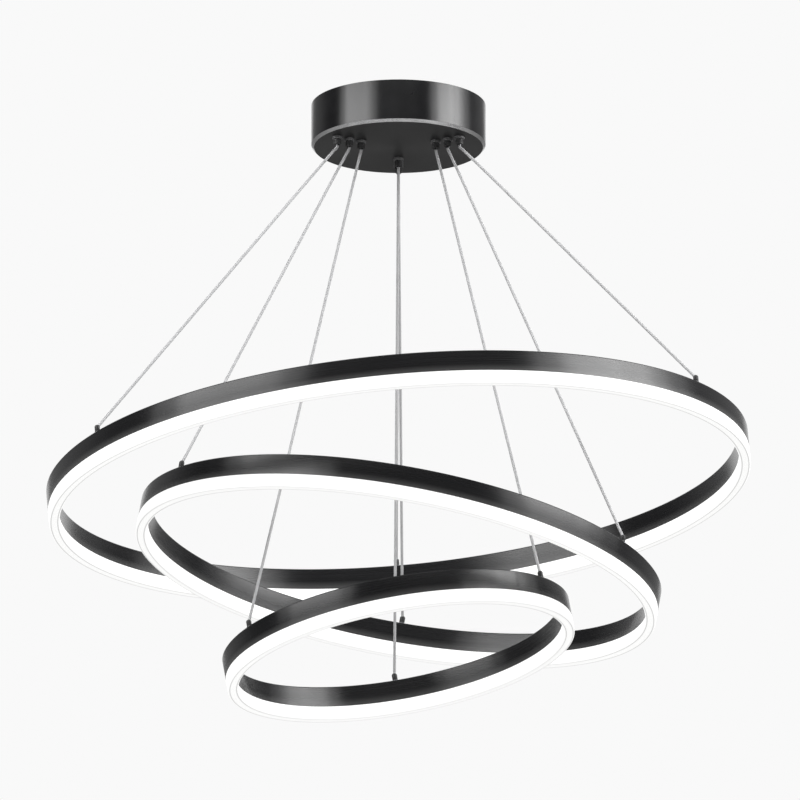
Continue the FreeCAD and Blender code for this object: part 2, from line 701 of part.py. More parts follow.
# ---- driver ---------------------------------------------------------------------------------------
def tail_ring_leads():
    """Each conducting wire's lead: its gripper's place, its level and where it enters the case."""
    levels = {"small": INNER_LEAD_LEVEL, "middle": MIDDLE_LEAD_LEVEL, "large": OUTER_LEAD_LEVEL}
    inner_entry = abs(grip_place("small", "left")[0])
    leads = []
    for order, name in enumerate(("small", "middle", "large")):
        for side in ("left", "right"):
            x, y = grip_place(name, side)
            entry = math.copysign(inner_entry - order * LEAD_ENTRY_PITCH, x)
            leads.append((x, y, levels[name], entry))
    return leads


def lead_hole(x, z):
    start = Vector(x, -CASE_WIDTH / 2 - 1, z)
    return Part.makeCylinder(LEAD_RADIUS + LEAD_HOLE_CLEARANCE, CASE_WALL + 2, start, Vector(0, 1, 0))


def driver_case():
    shell = block(CASE_LENGTH, CASE_WIDTH, CASE_BOTTOM, CASE_TOP)
    inside_length = CASE_LENGTH - 2 * CASE_WALL
    inside_width = CASE_WIDTH - 2 * CASE_WALL
    cuts = [block(inside_length, inside_width, CASE_BOTTOM - 1, CASE_TOP - CASE_WALL)]
    cuts += [lead_hole(pole * POLE_PITCH, MAINS_LEAD_LEVEL) for pole in (-1, 1)]
    cuts += [lead_hole(entry, level) for x, y, level, entry in tail_ring_leads()]
    ledge_y = inside_width / 2 - LEDGE_WIDTH / 2
    adds = [block(inside_length, LEDGE_WIDTH, BOARD_TOP, CASE_TOP - CASE_WALL, 0, y)
            for y in (-ledge_y, ledge_y)]
    for x in (-LUG_X, LUG_X):
        lug = block(LUG_LENGTH, LUG_WIDTH, CASE_TOP - LUG_THICKNESS, CASE_TOP, x)
        hole = rod(CASE_SCREW_RADIUS + HOLE_CLEARANCE, CASE_TOP - LUG_THICKNESS - 1, 0, x)
        adds.append(lug.cut(hole))
    return shell.cut(cuts).fuse(adds).removeSplitter()


def driver_cover():
    plate = block(CASE_LENGTH, CASE_WIDTH, CASE_BOTTOM - CASE_WALL, CASE_BOTTOM)
    length = CASE_LENGTH - 2 * (CASE_WALL + COVER_CLEARANCE)
    width = CASE_WIDTH - 2 * (CASE_WALL + COVER_CLEARANCE)
    lip = block(length, width, CASE_BOTTOM, CASE_BOTTOM + COVER_LIP_HEIGHT)
    hollow = block(length - 2 * CASE_WALL, width - 2 * CASE_WALL, CASE_BOTTOM,
                   CASE_BOTTOM + COVER_LIP_HEIGHT + 1)
    return plate.fuse(lip.cut(hollow)).removeSplitter()


def driver_board():
    length = CASE_LENGTH - 2 * (CASE_WALL + BOARD_CLEARANCE)
    width = CASE_WIDTH - 2 * (CASE_WALL + BOARD_CLEARANCE)
    return block(length, width, BOARD_BOTTOM, BOARD_TOP)


def driver_components():
    """The transformer, a core with its coil, and a row of capacitors, hung under the board."""
    core = block(CORE_LENGTH, CORE_WIDTH, BOARD_BOTTOM - CORE_HEIGHT, BOARD_BOTTOM)
    window = block(CORE_LENGTH - 2 * CORE_LIMB, CORE_WIDTH + 2,
                   BOARD_BOTTOM - CORE_HEIGHT + CORE_YOKE, BOARD_BOTTOM - CORE_YOKE)
    bobbin = Part.makeCylinder(BOBBIN_RADIUS, CORE_WIDTH,
                               Vector(0, -CORE_WIDTH / 2, BOARD_BOTTOM - CORE_HEIGHT / 2),
                               Vector(0, 1, 0))
    parts = [core.cut(window).fuse(bobbin)]
    for i in range(3):
        x = CORE_LENGTH / 2 + (i + 1) * CAPACITOR_PITCH - CAPACITOR_RADIUS
        can = rod(CAPACITOR_RADIUS, BOARD_BOTTOM - CAPACITOR_LENGTH, BOARD_BOTTOM, x)
        parts.append(can)
    return group(parts)


def driver_screws():
    top = CASE_TOP - LUG_THICKNESS
    shank = rod(CASE_SCREW_RADIUS, top - 0.1, -CASE_SCREW_RECESS)
    head = rod(CASE_HEAD_RADIUS, top - CASE_HEAD_HEIGHT, top)
    screw = head.fuse(shank)
    return group([moved(screw, -LUG_X), moved(screw, LUG_X)])


# ---- leads ----------------------------------------------------------------------------------------
def mains_leads():
    """Line and neutral run from the block to the driver, and earth turns up to the bracket."""
    face = BLOCK_Y + BLOCK_WIDTH / 2
    level = -BRACKET_THICKNESS - POLE_DROP
    entry = -CASE_WIDTH / 2
    leads = []
    for pole in (-1, 1):
        x = pole * POLE_PITCH
        leads.append(bent_tube(LEAD_RADIUS, [
            (x, face - LEAD_INSIDE, level), (x, face + LEAD_STRAIGHT, level),
            (x, entry - LEAD_STRAIGHT, MAINS_LEAD_LEVEL),
            (x, entry + CASE_WALL + LEAD_INSIDE, MAINS_LEAD_LEVEL)]))
    out = face + EARTH_LEAD_OUT
    leads.append(bent_tube(LEAD_RADIUS, [
        (0, face - LEAD_INSIDE, level), (0, out, level), (0, out, -BRACKET_THICKNESS)]))
    return group(leads)


def output_leads():
    """From the top of each conducting wire's tail to the driver's front wall."""
    entry_y = -CASE_WIDTH / 2
    leads = []
    for x, y, level, entry in tail_ring_leads():
        points = [(x, y, TAIL_TOP), (x, y, level)]
        if abs(entry - x) > LEAD_RADIUS:
            points.append((entry, entry_y - LEAD_ENTRY_PITCH, level))
        points.append((entry, entry_y + CASE_WALL + LEAD_INSIDE, level))
        leads.append(bent_tube(LEAD_RADIUS, points))
    return group(leads)


# ---- the whole chandelier -------------------------------------------------------------------------
def root_nodes():
    return {
        "ceiling_bracket": ceiling_bracket(),
        "canopy_cup": canopy_cup(),
        "canopy_set_screws": canopy_set_screws(),
        "terminal_block": terminal_block(),
        "terminal_block_screws": terminal_block_screws(),
        "driver_case": driver_case(),
        "driver_cover": driver_cover(),
        "driver_board": driver_board(),
        "driver_components": driver_components(),
        "driver_screws": driver_screws(),
        "mains_leads": mains_leads(),
        "output_leads": output_leads(),
        "gripper_bodies": group(at_each_gripper(gripper_body())),
        "gripper_collars": group(at_each_gripper(gripper_collar())),
        "gripper_locknuts": group(at_each_gripper(gripper_locknut())),
        "gripper_springs": group(at_each_gripper(gripper_spring())),
        "wire_tails": group(at_each_gripper(wire_tail())),
        "wire_stops": group(at_each_gripper(wire_stop())),
    }


def ring_nodes(name):
    makers = {
        "channel": channel, "diffuser": diffuser, "led_strip": led_strip,
        "led_chips": led_chips, "splice_bar": splice_bar, "splice_screws": splice_screws,
        "terminals": terminals, "terminal_nuts": terminal_nuts,
    }
    return {f"{name}_{part}": hang(maker(name), name) for part, maker in makers.items()}


def main():
    nodes = root_nodes()
    for name in RINGS:
        nodes.update(ring_nodes(name))
        for side in SIDES:
            nodes[f"plunger_{name}_{side}"] = moved(plunger(), *grip_place(name, side))
            nodes[f"wire_{name}_{side}"] = wire(name, side)
            start = Vector(*grip_place(name, side), MOUTH)
            length = (swivel_centre(name, side) - start).Length
            print(f"wire_{name}_{side}: {length:.1f} mm from the mouth to the swivel")
    os.makedirs("parts", exist_ok=True)
    for node, shape in nodes.items():
        if not shape.isValid():
            print(f"{node} is not valid")
        shape.exportStep(f"parts/{node}.step")
    print(f"{len(nodes)} nodes")


main()
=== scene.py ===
"""The looks of an LED ring chandelier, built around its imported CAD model.

Three black rings with opal diffusers hang from a round canopy on nine straight wires. Sizes are
metres in the frame of the CAD model: the origin is the centre of the ceiling face, +Z is up, +X
to the right and +Y away from the viewer.
"""

import json
import logging
import math
from dataclasses import dataclass
from enum import Enum
from typing import Any

import bmesh
import bpy
from mathutils import Matrix, Vector


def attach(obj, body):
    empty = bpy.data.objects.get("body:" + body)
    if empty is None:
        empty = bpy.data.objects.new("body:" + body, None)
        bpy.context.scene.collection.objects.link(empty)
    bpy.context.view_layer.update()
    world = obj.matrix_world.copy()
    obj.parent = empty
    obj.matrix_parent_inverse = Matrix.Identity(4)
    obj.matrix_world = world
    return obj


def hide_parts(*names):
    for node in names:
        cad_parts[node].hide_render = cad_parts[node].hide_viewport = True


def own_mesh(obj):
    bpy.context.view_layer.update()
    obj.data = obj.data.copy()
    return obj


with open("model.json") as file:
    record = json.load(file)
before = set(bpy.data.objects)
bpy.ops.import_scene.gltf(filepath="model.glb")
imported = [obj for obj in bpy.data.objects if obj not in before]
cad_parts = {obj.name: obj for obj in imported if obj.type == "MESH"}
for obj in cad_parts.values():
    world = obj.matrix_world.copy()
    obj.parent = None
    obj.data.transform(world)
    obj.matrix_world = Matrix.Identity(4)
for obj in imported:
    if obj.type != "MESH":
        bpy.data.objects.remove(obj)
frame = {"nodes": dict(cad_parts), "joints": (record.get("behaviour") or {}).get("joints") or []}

log = logging.getLogger("chandelier")

MM = 0.001
CANOPY_BODY = "canopy"
SHARP = 38.0           # the angle in degrees above which an edge is usually sharp
QUARTER_TURN = 0.25    # turns the spread of a gloss from along the surface to across it
Corner = tuple[float, ...]


class Side(Enum):
    """Where a ring's three wires are: the azimuth in degrees from +X."""

    LEFT = 210.0
    RIGHT = 330.0
    BACK = 90.0

    @property
    def label(self) -> str:
        """The side's name in the CAD model's nodes."""
        return self.name.lower()


class Place(Enum):
    """What a pattern is laid out along: the output of a Texture Coordinate node."""

    UNROLLED = "UV"
    SOLID = "Object"


# ---- shader expressions ------------------------------------------------------------------------
class Signal:
    """A number that varies over a surface, written with the usual operators."""

    def __init__(self, shader: "Shader", socket: bpy.types.NodeSocket) -> None:
        """Wraps a socket.

        Args:
            shader: The shader that new nodes go into.
            socket: The output socket that carries the number.
        """
        self.shader = shader
        self.socket = socket

    def _math(self, operation: str, first: Any, second: Any = 0.0) -> "Signal":
        """Adds a Math node.

        Args:
            operation: The node's operation.
            first: Its first value, a number or a signal.
            second: Its second value, a number or a signal.

        Returns:
            The node's result.
        """
        node = self.shader.node(
            "ShaderNodeMath", {"operation": operation}, {0: first, 1: second})
        return Signal(self.shader, node.outputs[0])

    def __add__(self, other: Any) -> "Signal":
        """Gives self + other."""
        return self._math("ADD", self, other)

    def __radd__(self, other: Any) -> "Signal":
        """Gives other + self."""
        return self._math("ADD", other, self)

    def __sub__(self, other: Any) -> "Signal":
        """Gives self - other."""
        return self._math("SUBTRACT", self, other)

    def __rsub__(self, other: Any) -> "Signal":
        """Gives other - self."""
        return self._math("SUBTRACT", other, self)

    def __mul__(self, other: Any) -> "Signal":
        """Gives self * other."""
        return self._math("MULTIPLY", self, other)

    def __rmul__(self, other: Any) -> "Signal":
        """Gives other * self."""
        return self._math("MULTIPLY", other, self)

    def __gt__(self, other: Any) -> "Signal":
        """Gives 1 where self is greater than other, and 0 elsewhere."""
        return self._math("GREATER_THAN", self, other)

    def larger(self, other: Any) -> "Signal":
        """Gives the larger of self and other."""
        return self._math("MAXIMUM", self, other)

    def sway(self, amount: float) -> "Signal":
        """Gives a change of this amount, from a noise around 0.5."""
        return (self - 0.5) * amount

    def wave(self, length: float) -> "Signal":
        """Gives a sine wave of this length, from -1 to 1."""
        return self._math("SINE", self * (2 * math.pi / length))

    def ramp(self, low: float, high: float) -> "Signal":
        """Rises smoothly from 0 at low to 1 at high.

        Args:
            low: Where the result starts to leave 0.
            high: Where it reaches 1.

        Returns:
            The smooth step.
        """
        node = self.shader.node(
            "ShaderNodeMapRange", {"interpolation_type": "SMOOTHSTEP"},
            {"Value": self, "From Min": low, "From Max": high})
        return Signal(self.shader, node.outputs[0])


class Shader:
    """A node tree that is written as expressions."""

    def __init__(self, tree: bpy.types.NodeTree) -> None:
        """Starts an empty tree.

        Args:
            tree: The node tree of a material or a world.
        """
        self.tree = tree
        self.tree.nodes.clear()

    def node(self, kind: str, settings: dict[str, Any] | None = None,
             inputs: dict[str | int, Any] | None = None) -> bpy.types.Node:
        """Adds a node.

        Args:
            kind: The node's type.
            settings: Its properties, set first.
            inputs: Its sockets' numbers, colours, signals or sockets, by name or by number.

        Returns:
            The node.
        """
        made = self.tree.nodes.new(kind)
        for name, value in (settings or {}).items():
            setattr(made, name, value)
        for name, value in (inputs or {}).items():
            source = value.socket if isinstance(value, Signal) else value
            if isinstance(source, bpy.types.NodeSocket):
                self.tree.links.new(source, made.inputs[name])
            else:
                made.inputs[name].default_value = source
        return made

    def spot(self, place: Place, scale: Corner = (1.0, 1.0, 1.0)) -> bpy.types.NodeSocket:
        """Gives the surface's own coordinates, stretched.

        Args:
            place: Along what the pattern is laid out.
            scale: A factor for each axis.

        Returns:
            A vector socket.
        """
        source = self.node("ShaderNodeTexCoord").outputs[place.value]
        stretched = self.node("ShaderNodeVectorMath", {"operation": "MULTIPLY"},
                              {0: source, 1: scale})
        return stretched.outputs[0]

    def axes(self, place: Place) -> tuple[Signal, Signal, Signal]:
        """Gives the three coordinates of a place as signals."""
        node = self.node("ShaderNodeSeparateXYZ", None, {0: self.spot(place)})
        return tuple(Signal(self, output) for output in node.outputs)

    def noise(self, spot: bpy.types.NodeSocket, scale: float, detail: float = 2.0) -> Signal:
        """Gives a smooth noise around 0.5.

        Args:
            spot: Where it is laid out.
            scale: Its cells per metre.
            detail: How many finer layers it has.

        Returns:
            The noise.
        """
        node = self.node("ShaderNodeTexNoise", None,
                         {"Vector": spot, "Scale": scale, "Detail": detail})
        return Signal(self, node.outputs["Fac"])

    def streaks(self, place: Place, scale: Corner, detail: float = 2.0) -> Signal:
        """Gives a smooth noise around 0.5, stretched along the axes.

        Args:
            place: Along what it is laid out.
            scale: Its cells per metre along each axis.
            detail: How many finer layers it has.

        Returns:
            The noise.
        """
        return self.noise(self.spot(place, scale), 1.0, detail)

    def cells(self, spot: bpy.types.NodeSocket, scale: float) -> Signal:
        """Gives the distance from the middle of the nearest of scattered cells."""
        node = self.node("ShaderNodeTexVoronoi", None, {"Vector": spot, "Scale": scale})
        return Signal(self, node.outputs["Distance"])

    def tint(self, share: Signal, low: Corner, high: Corner) -> bpy.types.NodeSocket:
        """Mixes two colours.

        Args:
            share: 0 for the low colour and 1 for the high one.
            low: A colour of three numbers, or a colour socket.
            high: A colour of three numbers.

        Returns:
            A colour socket.
        """
        ends = [(*c, 1.0) if isinstance(c, tuple) else c for c in (low, high)]
        node = self.node("ShaderNodeMix", {"data_type": "RGBA"},
                         {0: share, 6: ends[0], 7: ends[1]})
        return node.outputs[2]

    def relief(self, height: Signal, depth: float, strength: float = 1.0) -> bpy.types.NodeSocket:
        """Gives the normal of a surface with a fine relief.

        Args:
            height: The relief, from 0 to 1.
            depth: How far it goes, in metres.
            strength: How much of it shows.

        Returns:
            A normal socket.
        """
        node = self.node("ShaderNodeBump", None,
                         {"Height": height, "Distance": depth, "Strength": strength})
        return node.outputs[0]

    def surface(self, **values: Any) -> None:
        """Ends the tree in a Principled shader.

        Args:
            values: The values of its sockets, by name with _ for each space.
        """
        inputs = {name.replace("_", " "): value for name, value in values.items()}
        shader = self.node("ShaderNodeBsdfPrincipled", None, inputs)
        self.node("ShaderNodeOutputMaterial", None, {"Surface": shader.outputs[0]})


# ---- finishes ----------------------------------------------------------------------------------
UNLIT = (0.0, 0.0, 0.0)


def toned(colour: Corner, factor: float, lift: float = 0.0) -> Corner:
    """Gives a colour of another tone: each channel times a factor, plus a lift."""
    return tuple(channel * factor + lift for channel in colour)


@dataclass(frozen=True)
class Finish:
    """A finish: a named material that is made once.

    Attributes:
        name: The material's name.
    """

    name: str

    def material(self) -> bpy.types.Material:
        """Makes the finish's material, unless it is there already.

        Returns:
            The material.
        """
        found = bpy.data.materials.get(self.name)
        if found is None:
            found = bpy.data.materials.new(self.name)
            found.use_nodes = True
            self.draw(Shader(found.node_tree))
        return found

    def draw(self, shader: Shader) -> None:
        """Writes the finish's nodes into a shader."""
        raise NotImplementedError


@dataclass(frozen=True)
class Lacquer(Finish):
    """A satin sprayed lacquer with a faint orange peel, over a turned surface.

    Attributes:
        colour: Its colour.
        roughness: Its usual roughness.
        specular: Its specular level.
        turned: How much more its gloss spreads across the turned lines than along them.
        peel_scale: The cells of its orange peel, per metre.
        peel_depth: The depth of the peel.
        cloud_scale: The cells of its thin places, per metre.
        speck_scale: The specks of dust in it, per metre.
    """

    colour: Corner = (0.0055, 0.0055, 0.006)
    roughness: float = 0.28
    specular: float = 0.42
    turned: float = 0.8
    peel_scale: float = 900.0
    peel_depth: float = 0.012 * MM
    cloud_scale: float = 28.0
    speck_scale: float = 420.0

    def draw(self, shader: Shader) -> None:
        """Writes the lacquer: peel in the relief, dust and thin places in the gloss.

        Args:
            shader: The material's shader.
        """
        spot = shader.spot(Place.SOLID)
        peel = shader.noise(spot, self.peel_scale, 1.0)
        cloud = shader.noise(spot, self.cloud_scale, 3.0)
        speck = 1.0 - shader.cells(spot, self.speck_scale).ramp(0.03, 0.1)
        lighter = toned(self.colour, 1.9, 0.002)
        shader.surface(
            Base_Color=shader.tint(cloud.ramp(0.35, 0.8) * 0.6 + speck * 0.2,
                                   self.colour, lighter),
            Roughness=self.roughness + cloud.sway(0.05) + speck * 0.04,
            Specular_IOR_Level=self.specular,
            Anisotropic=self.turned,
            Anisotropic_Rotation=QUARTER_TURN,
            Normal=shader.relief(peel, self.peel_depth, 0.4))


@dataclass(frozen=True)
class Anodised(Finish):
    """Black anodised aluminium, drawn lengthways, so fine lines run along the piece.

    Attributes:
        colour: Its colour.
        painted_glow: The lighter colour painted at the lower edges, a painted glow of the
            diffuser's light on the black channel.
        foot: How far up the outer wall this painted glow reaches, in metres round the section.
        far_foot: Where it starts and ends on the inner wall.
        roughness: Its usual roughness.
        specular: Its specular level.
        drawn: How much more its gloss spreads across the drawn lines than along them.
        line_scale: The cells of its fine lines, per metre along and across them.
        line_depth: The depth of the lines.
        streak_scale: The same as line_scale, for its streaks.
        cloud_scale: The cells of its slow change of tone, per metre.
    """

    colour: Corner = (0.008, 0.008, 0.0085)
    # painted light: a lighter colour at the lower edges stands in for the diffuser's glow
    painted_glow: Corner = (0.044, 0.044, 0.044)
    foot: float = 9.0 * MM
    far_foot: Corner = (49.0 * MM, 58.0 * MM)
    roughness: float = 0.26
    specular: float = 0.33
    drawn: float = 0.8
    line_scale: Corner = (9.0, 2600.0, 1.0)
    line_depth: float = 0.006 * MM
    streak_scale: Corner = (3.0, 500.0, 1.0)
    cloud_scale: float = 9.0

    def draw(self, shader: Shader) -> None:
        """Writes the drawn lines, a painted glow of the diffuser at both lower edges, and a slow
        change of tone.

        Args:
            shader: The material's shader.
        """
        lines = shader.streaks(Place.UNROLLED, self.line_scale, 3.0)
        streak = shader.streaks(Place.UNROLLED, self.streak_scale)
        cloud = shader.noise(shader.spot(Place.SOLID), self.cloud_scale)
        up = shader.axes(Place.UNROLLED)[1]
        # painted light: the channel is coloured lighter at both lower edges, a painted glow of
        # the diffuser
        painted_glow_mask = 1.0 - up.ramp(0.0, self.foot) + up.ramp(*self.far_foot)
        lighter = toned(self.colour, 1.5, 0.001)
        drawn = shader.tint(streak.ramp(0.35, 0.75) * 0.5 + cloud.ramp(0.4, 0.8) * 0.3,
                            self.colour, lighter)
        shader.surface(
            Base_Color=shader.tint(painted_glow_mask, drawn, self.painted_glow),
            Roughness=self.roughness + lines.sway(0.08) + cloud.sway(0.04),
            Specular_IOR_Level=self.specular,
            Anisotropic=self.drawn,
            Anisotropic_Rotation=QUARTER_TURN,
            Normal=shader.relief(lines, self.line_depth, 0.5))


@dataclass(frozen=True)
class Opal(Finish):
    """A lit opal diffuser, a little dimmer where it meets the channel, with painted shade at its
    lower edges.

    Attributes:
        colour: The plastic's own colour.
        glow: The colour and level of the light in it.
        lip: How far from the channel the light is held back.
        lip_share: The share of the light that comes through right at the channel.
        edges: Where the two lower edges start and end, down the wall and across from its top.
        edge_blur: How far each of them fades.
        edge_shade_colour: The darker colour painted in them, as painted shade.
        edge_loss: The share of the glow taken out in them, also as painted shade.
        chip_pitch: The distance between the LED chips behind it.
        chip_ripple: How much brighter it is in front of a chip.
        line_scale: The cells of its extrusion lines, per metre along and across them.
        line_depth: The depth of the lines.
        cloud_scale: The cells of its faint unevenness, per metre.
        roughness: Its usual roughness.
        specular: Its specular level.
    """

    colour: Corner = (0.30, 0.30, 0.297)
    glow: Corner = (0.83, 0.83, 0.825)
    lip: float = 1.2 * MM
    lip_share: float = 0.7
    edges: tuple[Corner, Corner] = ((15.9 * MM, 17.4 * MM), (23.6 * MM, 25.2 * MM))
    edge_blur: float = 0.4 * MM
    # painted shade along the two lower edges: a darker colour and less glow
    edge_shade_colour: Corner = (0.1, 0.1, 0.1)
    edge_loss: float = 0.32
    chip_pitch: float = 16.6 * MM
    chip_ripple: float = 0.004
    line_scale: Corner = (6.0, 1800.0, 1.0)
    line_depth: float = 0.006 * MM
    cloud_scale: float = 60.0
    roughness: float = 0.5
    specular: float = 0.4

    def draw(self, shader: Shader) -> None:
        """Writes the glow, the dim lip, the painted shade at the lower edges, and the fine lines
        of the extrusion.

        Args:
            shader: The material's shader.
        """
        along, down, _ = shader.axes(Place.UNROLLED)
        lines = shader.streaks(Place.UNROLLED, self.line_scale)
        cloud = shader.noise(shader.spot(Place.SOLID), self.cloud_scale)
        blur = self.edge_blur
        # painted shade: two bands along the lower edges get less glow and a darker colour
        first, last = (down.ramp(start, start + blur) - down.ramp(end - blur, end)
                       for start, end in self.edges)
        edge = first + last
        lit = (down.ramp(-0.2 * MM, self.lip) * (1 - self.lip_share) + self.lip_share
               - edge * self.edge_loss)
        even = 1.0 + along.wave(self.chip_pitch) * self.chip_ripple + cloud.sway(0.02)
        plastic = shader.tint(cloud.ramp(0.3, 0.8) * 0.5, self.colour, toned(self.colour, 0.96))
        # painted shade: the base colour is darkened in the two lower edge bands
        shader.surface(
            Base_Color=shader.tint(edge, plastic, self.edge_shade_colour),
            Roughness=self.roughness + lines.sway(0.12),
            Specular_IOR_Level=self.specular,
            Emission_Color=shader.tint(lit * even, UNLIT, self.glow),
            Emission_Strength=1.0,
            Normal=shader.relief(lines, self.line_depth, 0.4))


@dataclass(frozen=True)
class Sheath(Finish):
    """A clear sheath over twisted tinned strands.

    Attributes:
        crest: The colour on the strands.
        hollow: The darker colour between them, painted shade in the hollows between the strands.
        strand_slope: How far round a strand goes for a metre along the wire.
        strand_pitch: The distance from a strand to the next.
        fine_slope: The same as strand_slope, for the fine wires, which are laid the other way.
        fine_pitch: The distance from a fine wire to the next.
        grain_scale: The cells of its uneven tone, per metre.
        roughness: Its usual roughness.
        specular: Its specular level.
    """

    crest: Corner = (0.36, 0.36, 0.365)
    # darker colour in the hollows between strands: painted shade
    hollow: Corner = (0.29, 0.29, 0.295)
    strand_slope: float = 0.47
    strand_pitch: float = 1.25 * MM
    fine_slope: float = 0.9
    fine_pitch: float = 0.22 * MM
    grain_scale: float = 700.0
    roughness: float = 0.6
    specular: float = 0.15

    def draw(self, shader: Shader) -> None:
        """Writes the strands: their lay and the fine wires in each as painted shade in the
        hollows, a random grain of tone, and the gloss over them.

        Args:
            shader: The material's shader.
        """
        along, around, _ = shader.axes(Place.UNROLLED)
        strand = (around + along * self.strand_slope).wave(self.strand_pitch)
        fine = (around - along * self.fine_slope).wave(self.fine_pitch)
        grain = shader.noise(shader.spot(Place.SOLID), self.grain_scale)
        # painted shade: darker colour in the hollows between strands and fine wires; the grain
        # adds a random tone
        raised = strand * 0.25 + fine * 0.1 + grain * 0.4 + 0.35
        shader.surface(
            Base_Color=shader.tint(raised.ramp(0.0, 1.0), self.hollow, self.crest),
            Roughness=self.roughness + grain.sway(0.1),
            Specular_IOR_Level=self.specular)


@dataclass(frozen=True)
class Metal(Finish):
    """A bare or plated metal with fine lines and a blotchy tone.

    Attributes:
        colour: Its colour.
        shade: The colour of its darker places.
        roughness: Its usual roughness.
        lines: The cells of its drawn or turned lines, per metre along each axis.
        blotch: The cells of its blotches, per metre.
        pits: The pits in it, per metre.
        relief: The depth of its lines.
    """

    colour: Corner = (0.62, 0.63, 0.65)
    shade: Corner = (0.48, 0.49, 0.52)
    roughness: float = 0.34
    lines: Corner = (40.0, 1500.0, 1500.0)
    blotch: float = 120.0
    pits: float = 900.0
    relief: float = 0.015 * MM

    def draw(self, shader: Shader) -> None:
        """Writes the lines, the blotches and a few darker pits.

        Args:
            shader: The material's shader.
        """
        spot = shader.spot(Place.SOLID)
        lines = shader.streaks(Place.SOLID, self.lines)
        blotch = shader.noise(spot, self.blotch, 3.0)
        pits = 1.0 - shader.cells(spot, self.pits).ramp(0.05, 0.2)
        shader.surface(
            Base_Color=shader.tint(blotch.ramp(0.3, 0.7) * 0.8 + pits * 0.2,
                                   self.colour, self.shade),
            Metallic=1.0,
            Roughness=self.roughness + blotch.sway(0.2) + lines.sway(0.1),
            Normal=shader.relief(lines, self.relief, 0.5))


@dataclass(frozen=True)
class Moulded(Finish):
    """A moulded plastic with a fine spark-eroded texture.

    Attributes:
        colour: Its colour.
        roughness: Its usual roughness.
        grain: The depth of its texture.
        grain_scale: The cells of its texture, per metre.
        flow_scale: The cells of its flow marks, per metre along each axis.
    """

    colour: Corner = (0.80, 0.80, 0.78)
    roughness: float = 0.45
    grain: float = 0.03 * MM
    grain_scale: float = 1600.0
    flow_scale: Corner = (12.0, 60.0, 60.0)

    def draw(self, shader: Shader) -> None:
        """Writes the texture and slight flow marks.

        Args:
            shader: The material's shader.
        """
        grain = shader.noise(shader.spot(Place.SOLID), self.grain_scale)
        flow = shader.streaks(Place.SOLID, self.flow_scale)
        shader.surface(
            Base_Color=shader.tint(flow.ramp(0.35, 0.75), self.colour, toned(self.colour, 0.9)),
            Roughness=self.roughness + grain.sway(0.16) + flow.sway(0.1),
            Normal=shader.relief(grain, self.grain, 0.5))


@dataclass(frozen=True)
class SolderMask(Finish):
    """A green lacquered board with lighter tracks under the lacquer.

    Attributes:
        track_pitch: The distance from a track to the next.
        link_pitch: The distance from a link across the tracks to the next.
        wander: How far they stray.
        lacquer: The colour of the lacquer on bare board.
        over_copper: The colour of the lacquer on a track.
        step: How far a track stands out.
    """

    track_pitch: float = 4.2 * MM
    link_pitch: float = 9.0 * MM
    wander: float = 3.0 * MM
    lacquer: Corner = (0.02, 0.16, 0.06)
    over_copper: Corner = (0.06, 0.33, 0.13)
    step: float = 0.04 * MM

    def draw(self, shader: Shader) -> None:
        """Writes the tracks, which run along the board and across it, and their soft edges.

        Args:
            shader: The material's shader.
        """
        along, across, _ = shader.axes(Place.SOLID)
        wander = shader.noise(shader.spot(Place.SOLID), 45.0, 1.0) * self.wander
        tracks = (across + wander).wave(self.track_pitch).ramp(0.55, 0.75)
        links = (along + wander).wave(self.link_pitch).ramp(0.86, 0.94)
        copper = tracks.larger(links)
        shader.surface(
            Base_Color=shader.tint(copper, self.lacquer, self.over_copper),
            Roughness=0.28 + copper * 0.08,
            Coat_Weight=0.4,
            Normal=shader.relief(copper, self.step, 0.6))


@dataclass(frozen=True)
class Phosphor(Finish):
    """The yellow phosphor face of an LED chip, granular and a little lit.

    Attributes:
        colours: The colours of its finer and its coarser grains.
        glows: The light of its dimmer and its brighter grains.
        grain_scale: Its grains per metre.
        roughness: Its usual roughness.
    """

    colours: tuple[Corner, Corner] = ((0.95, 0.85, 0.45), (0.85, 0.68, 0.22))
    glows: tuple[Corner, Corner] = ((0.9, 0.85, 0.6), (1.0, 0.95, 0.8))
    grain_scale: float = 2500.0
    roughness: float = 0.35

    def draw(self, shader: Shader) -> None:
        """Writes the grains and the glow.

        Args:
            shader: The material's shader.
        """
        grain = shader.noise(shader.spot(Place.SOLID), self.grain_scale)
        shader.surface(
            Base_Color=shader.tint(grain.ramp(0.3, 0.7), *self.colours),
            Roughness=self.roughness + grain.sway(0.2),
            Emission_Color=shader.tint(grain.ramp(0.2, 0.8), *self.glows),
            Emission_Strength=1.0)


@dataclass(frozen=True)
class LeadSheath(Finish):
    """The insulation of the leads in the canopy, coloured by the pole that each one serves.

    Attributes:
        poles: The colours from left to right.
        half_pitch: Half the distance from a pole to the next.
        drag_scale: The cells of its drag marks, per metre along each axis.
        drag_colour: The colour that they fade it to.
        drag_depth: Their depth.
        roughness: Its usual roughness.
    """

    poles: tuple[Corner, Corner, Corner]
    half_pitch: float
    drag_scale: Corner = (300.0, 300.0, 40.0)
    drag_colour: Corner = (0.55, 0.52, 0.5)
    drag_depth: float = 0.02 * MM
    roughness: float = 0.4

    def draw(self, shader: Shader) -> None:
        """Writes the colours by side, and the soft drag marks of extruded insulation.

        Args:
            shader: The material's shader.
        """
        across = shader.axes(Place.SOLID)[0]
        drag = shader.streaks(Place.SOLID, self.drag_scale)
        left_or_middle = shader.tint(across > -self.half_pitch, self.poles[0], self.poles[1])
        colours = shader.tint(across > self.half_pitch, left_or_middle, self.poles[2])
        shader.surface(
            Base_Color=shader.tint(drag.ramp(0.4, 0.9) * 0.25, colours, self.drag_colour),
            Roughness=self.roughness + drag.sway(0.2),
            Normal=shader.relief(drag, self.drag_depth, 0.5))


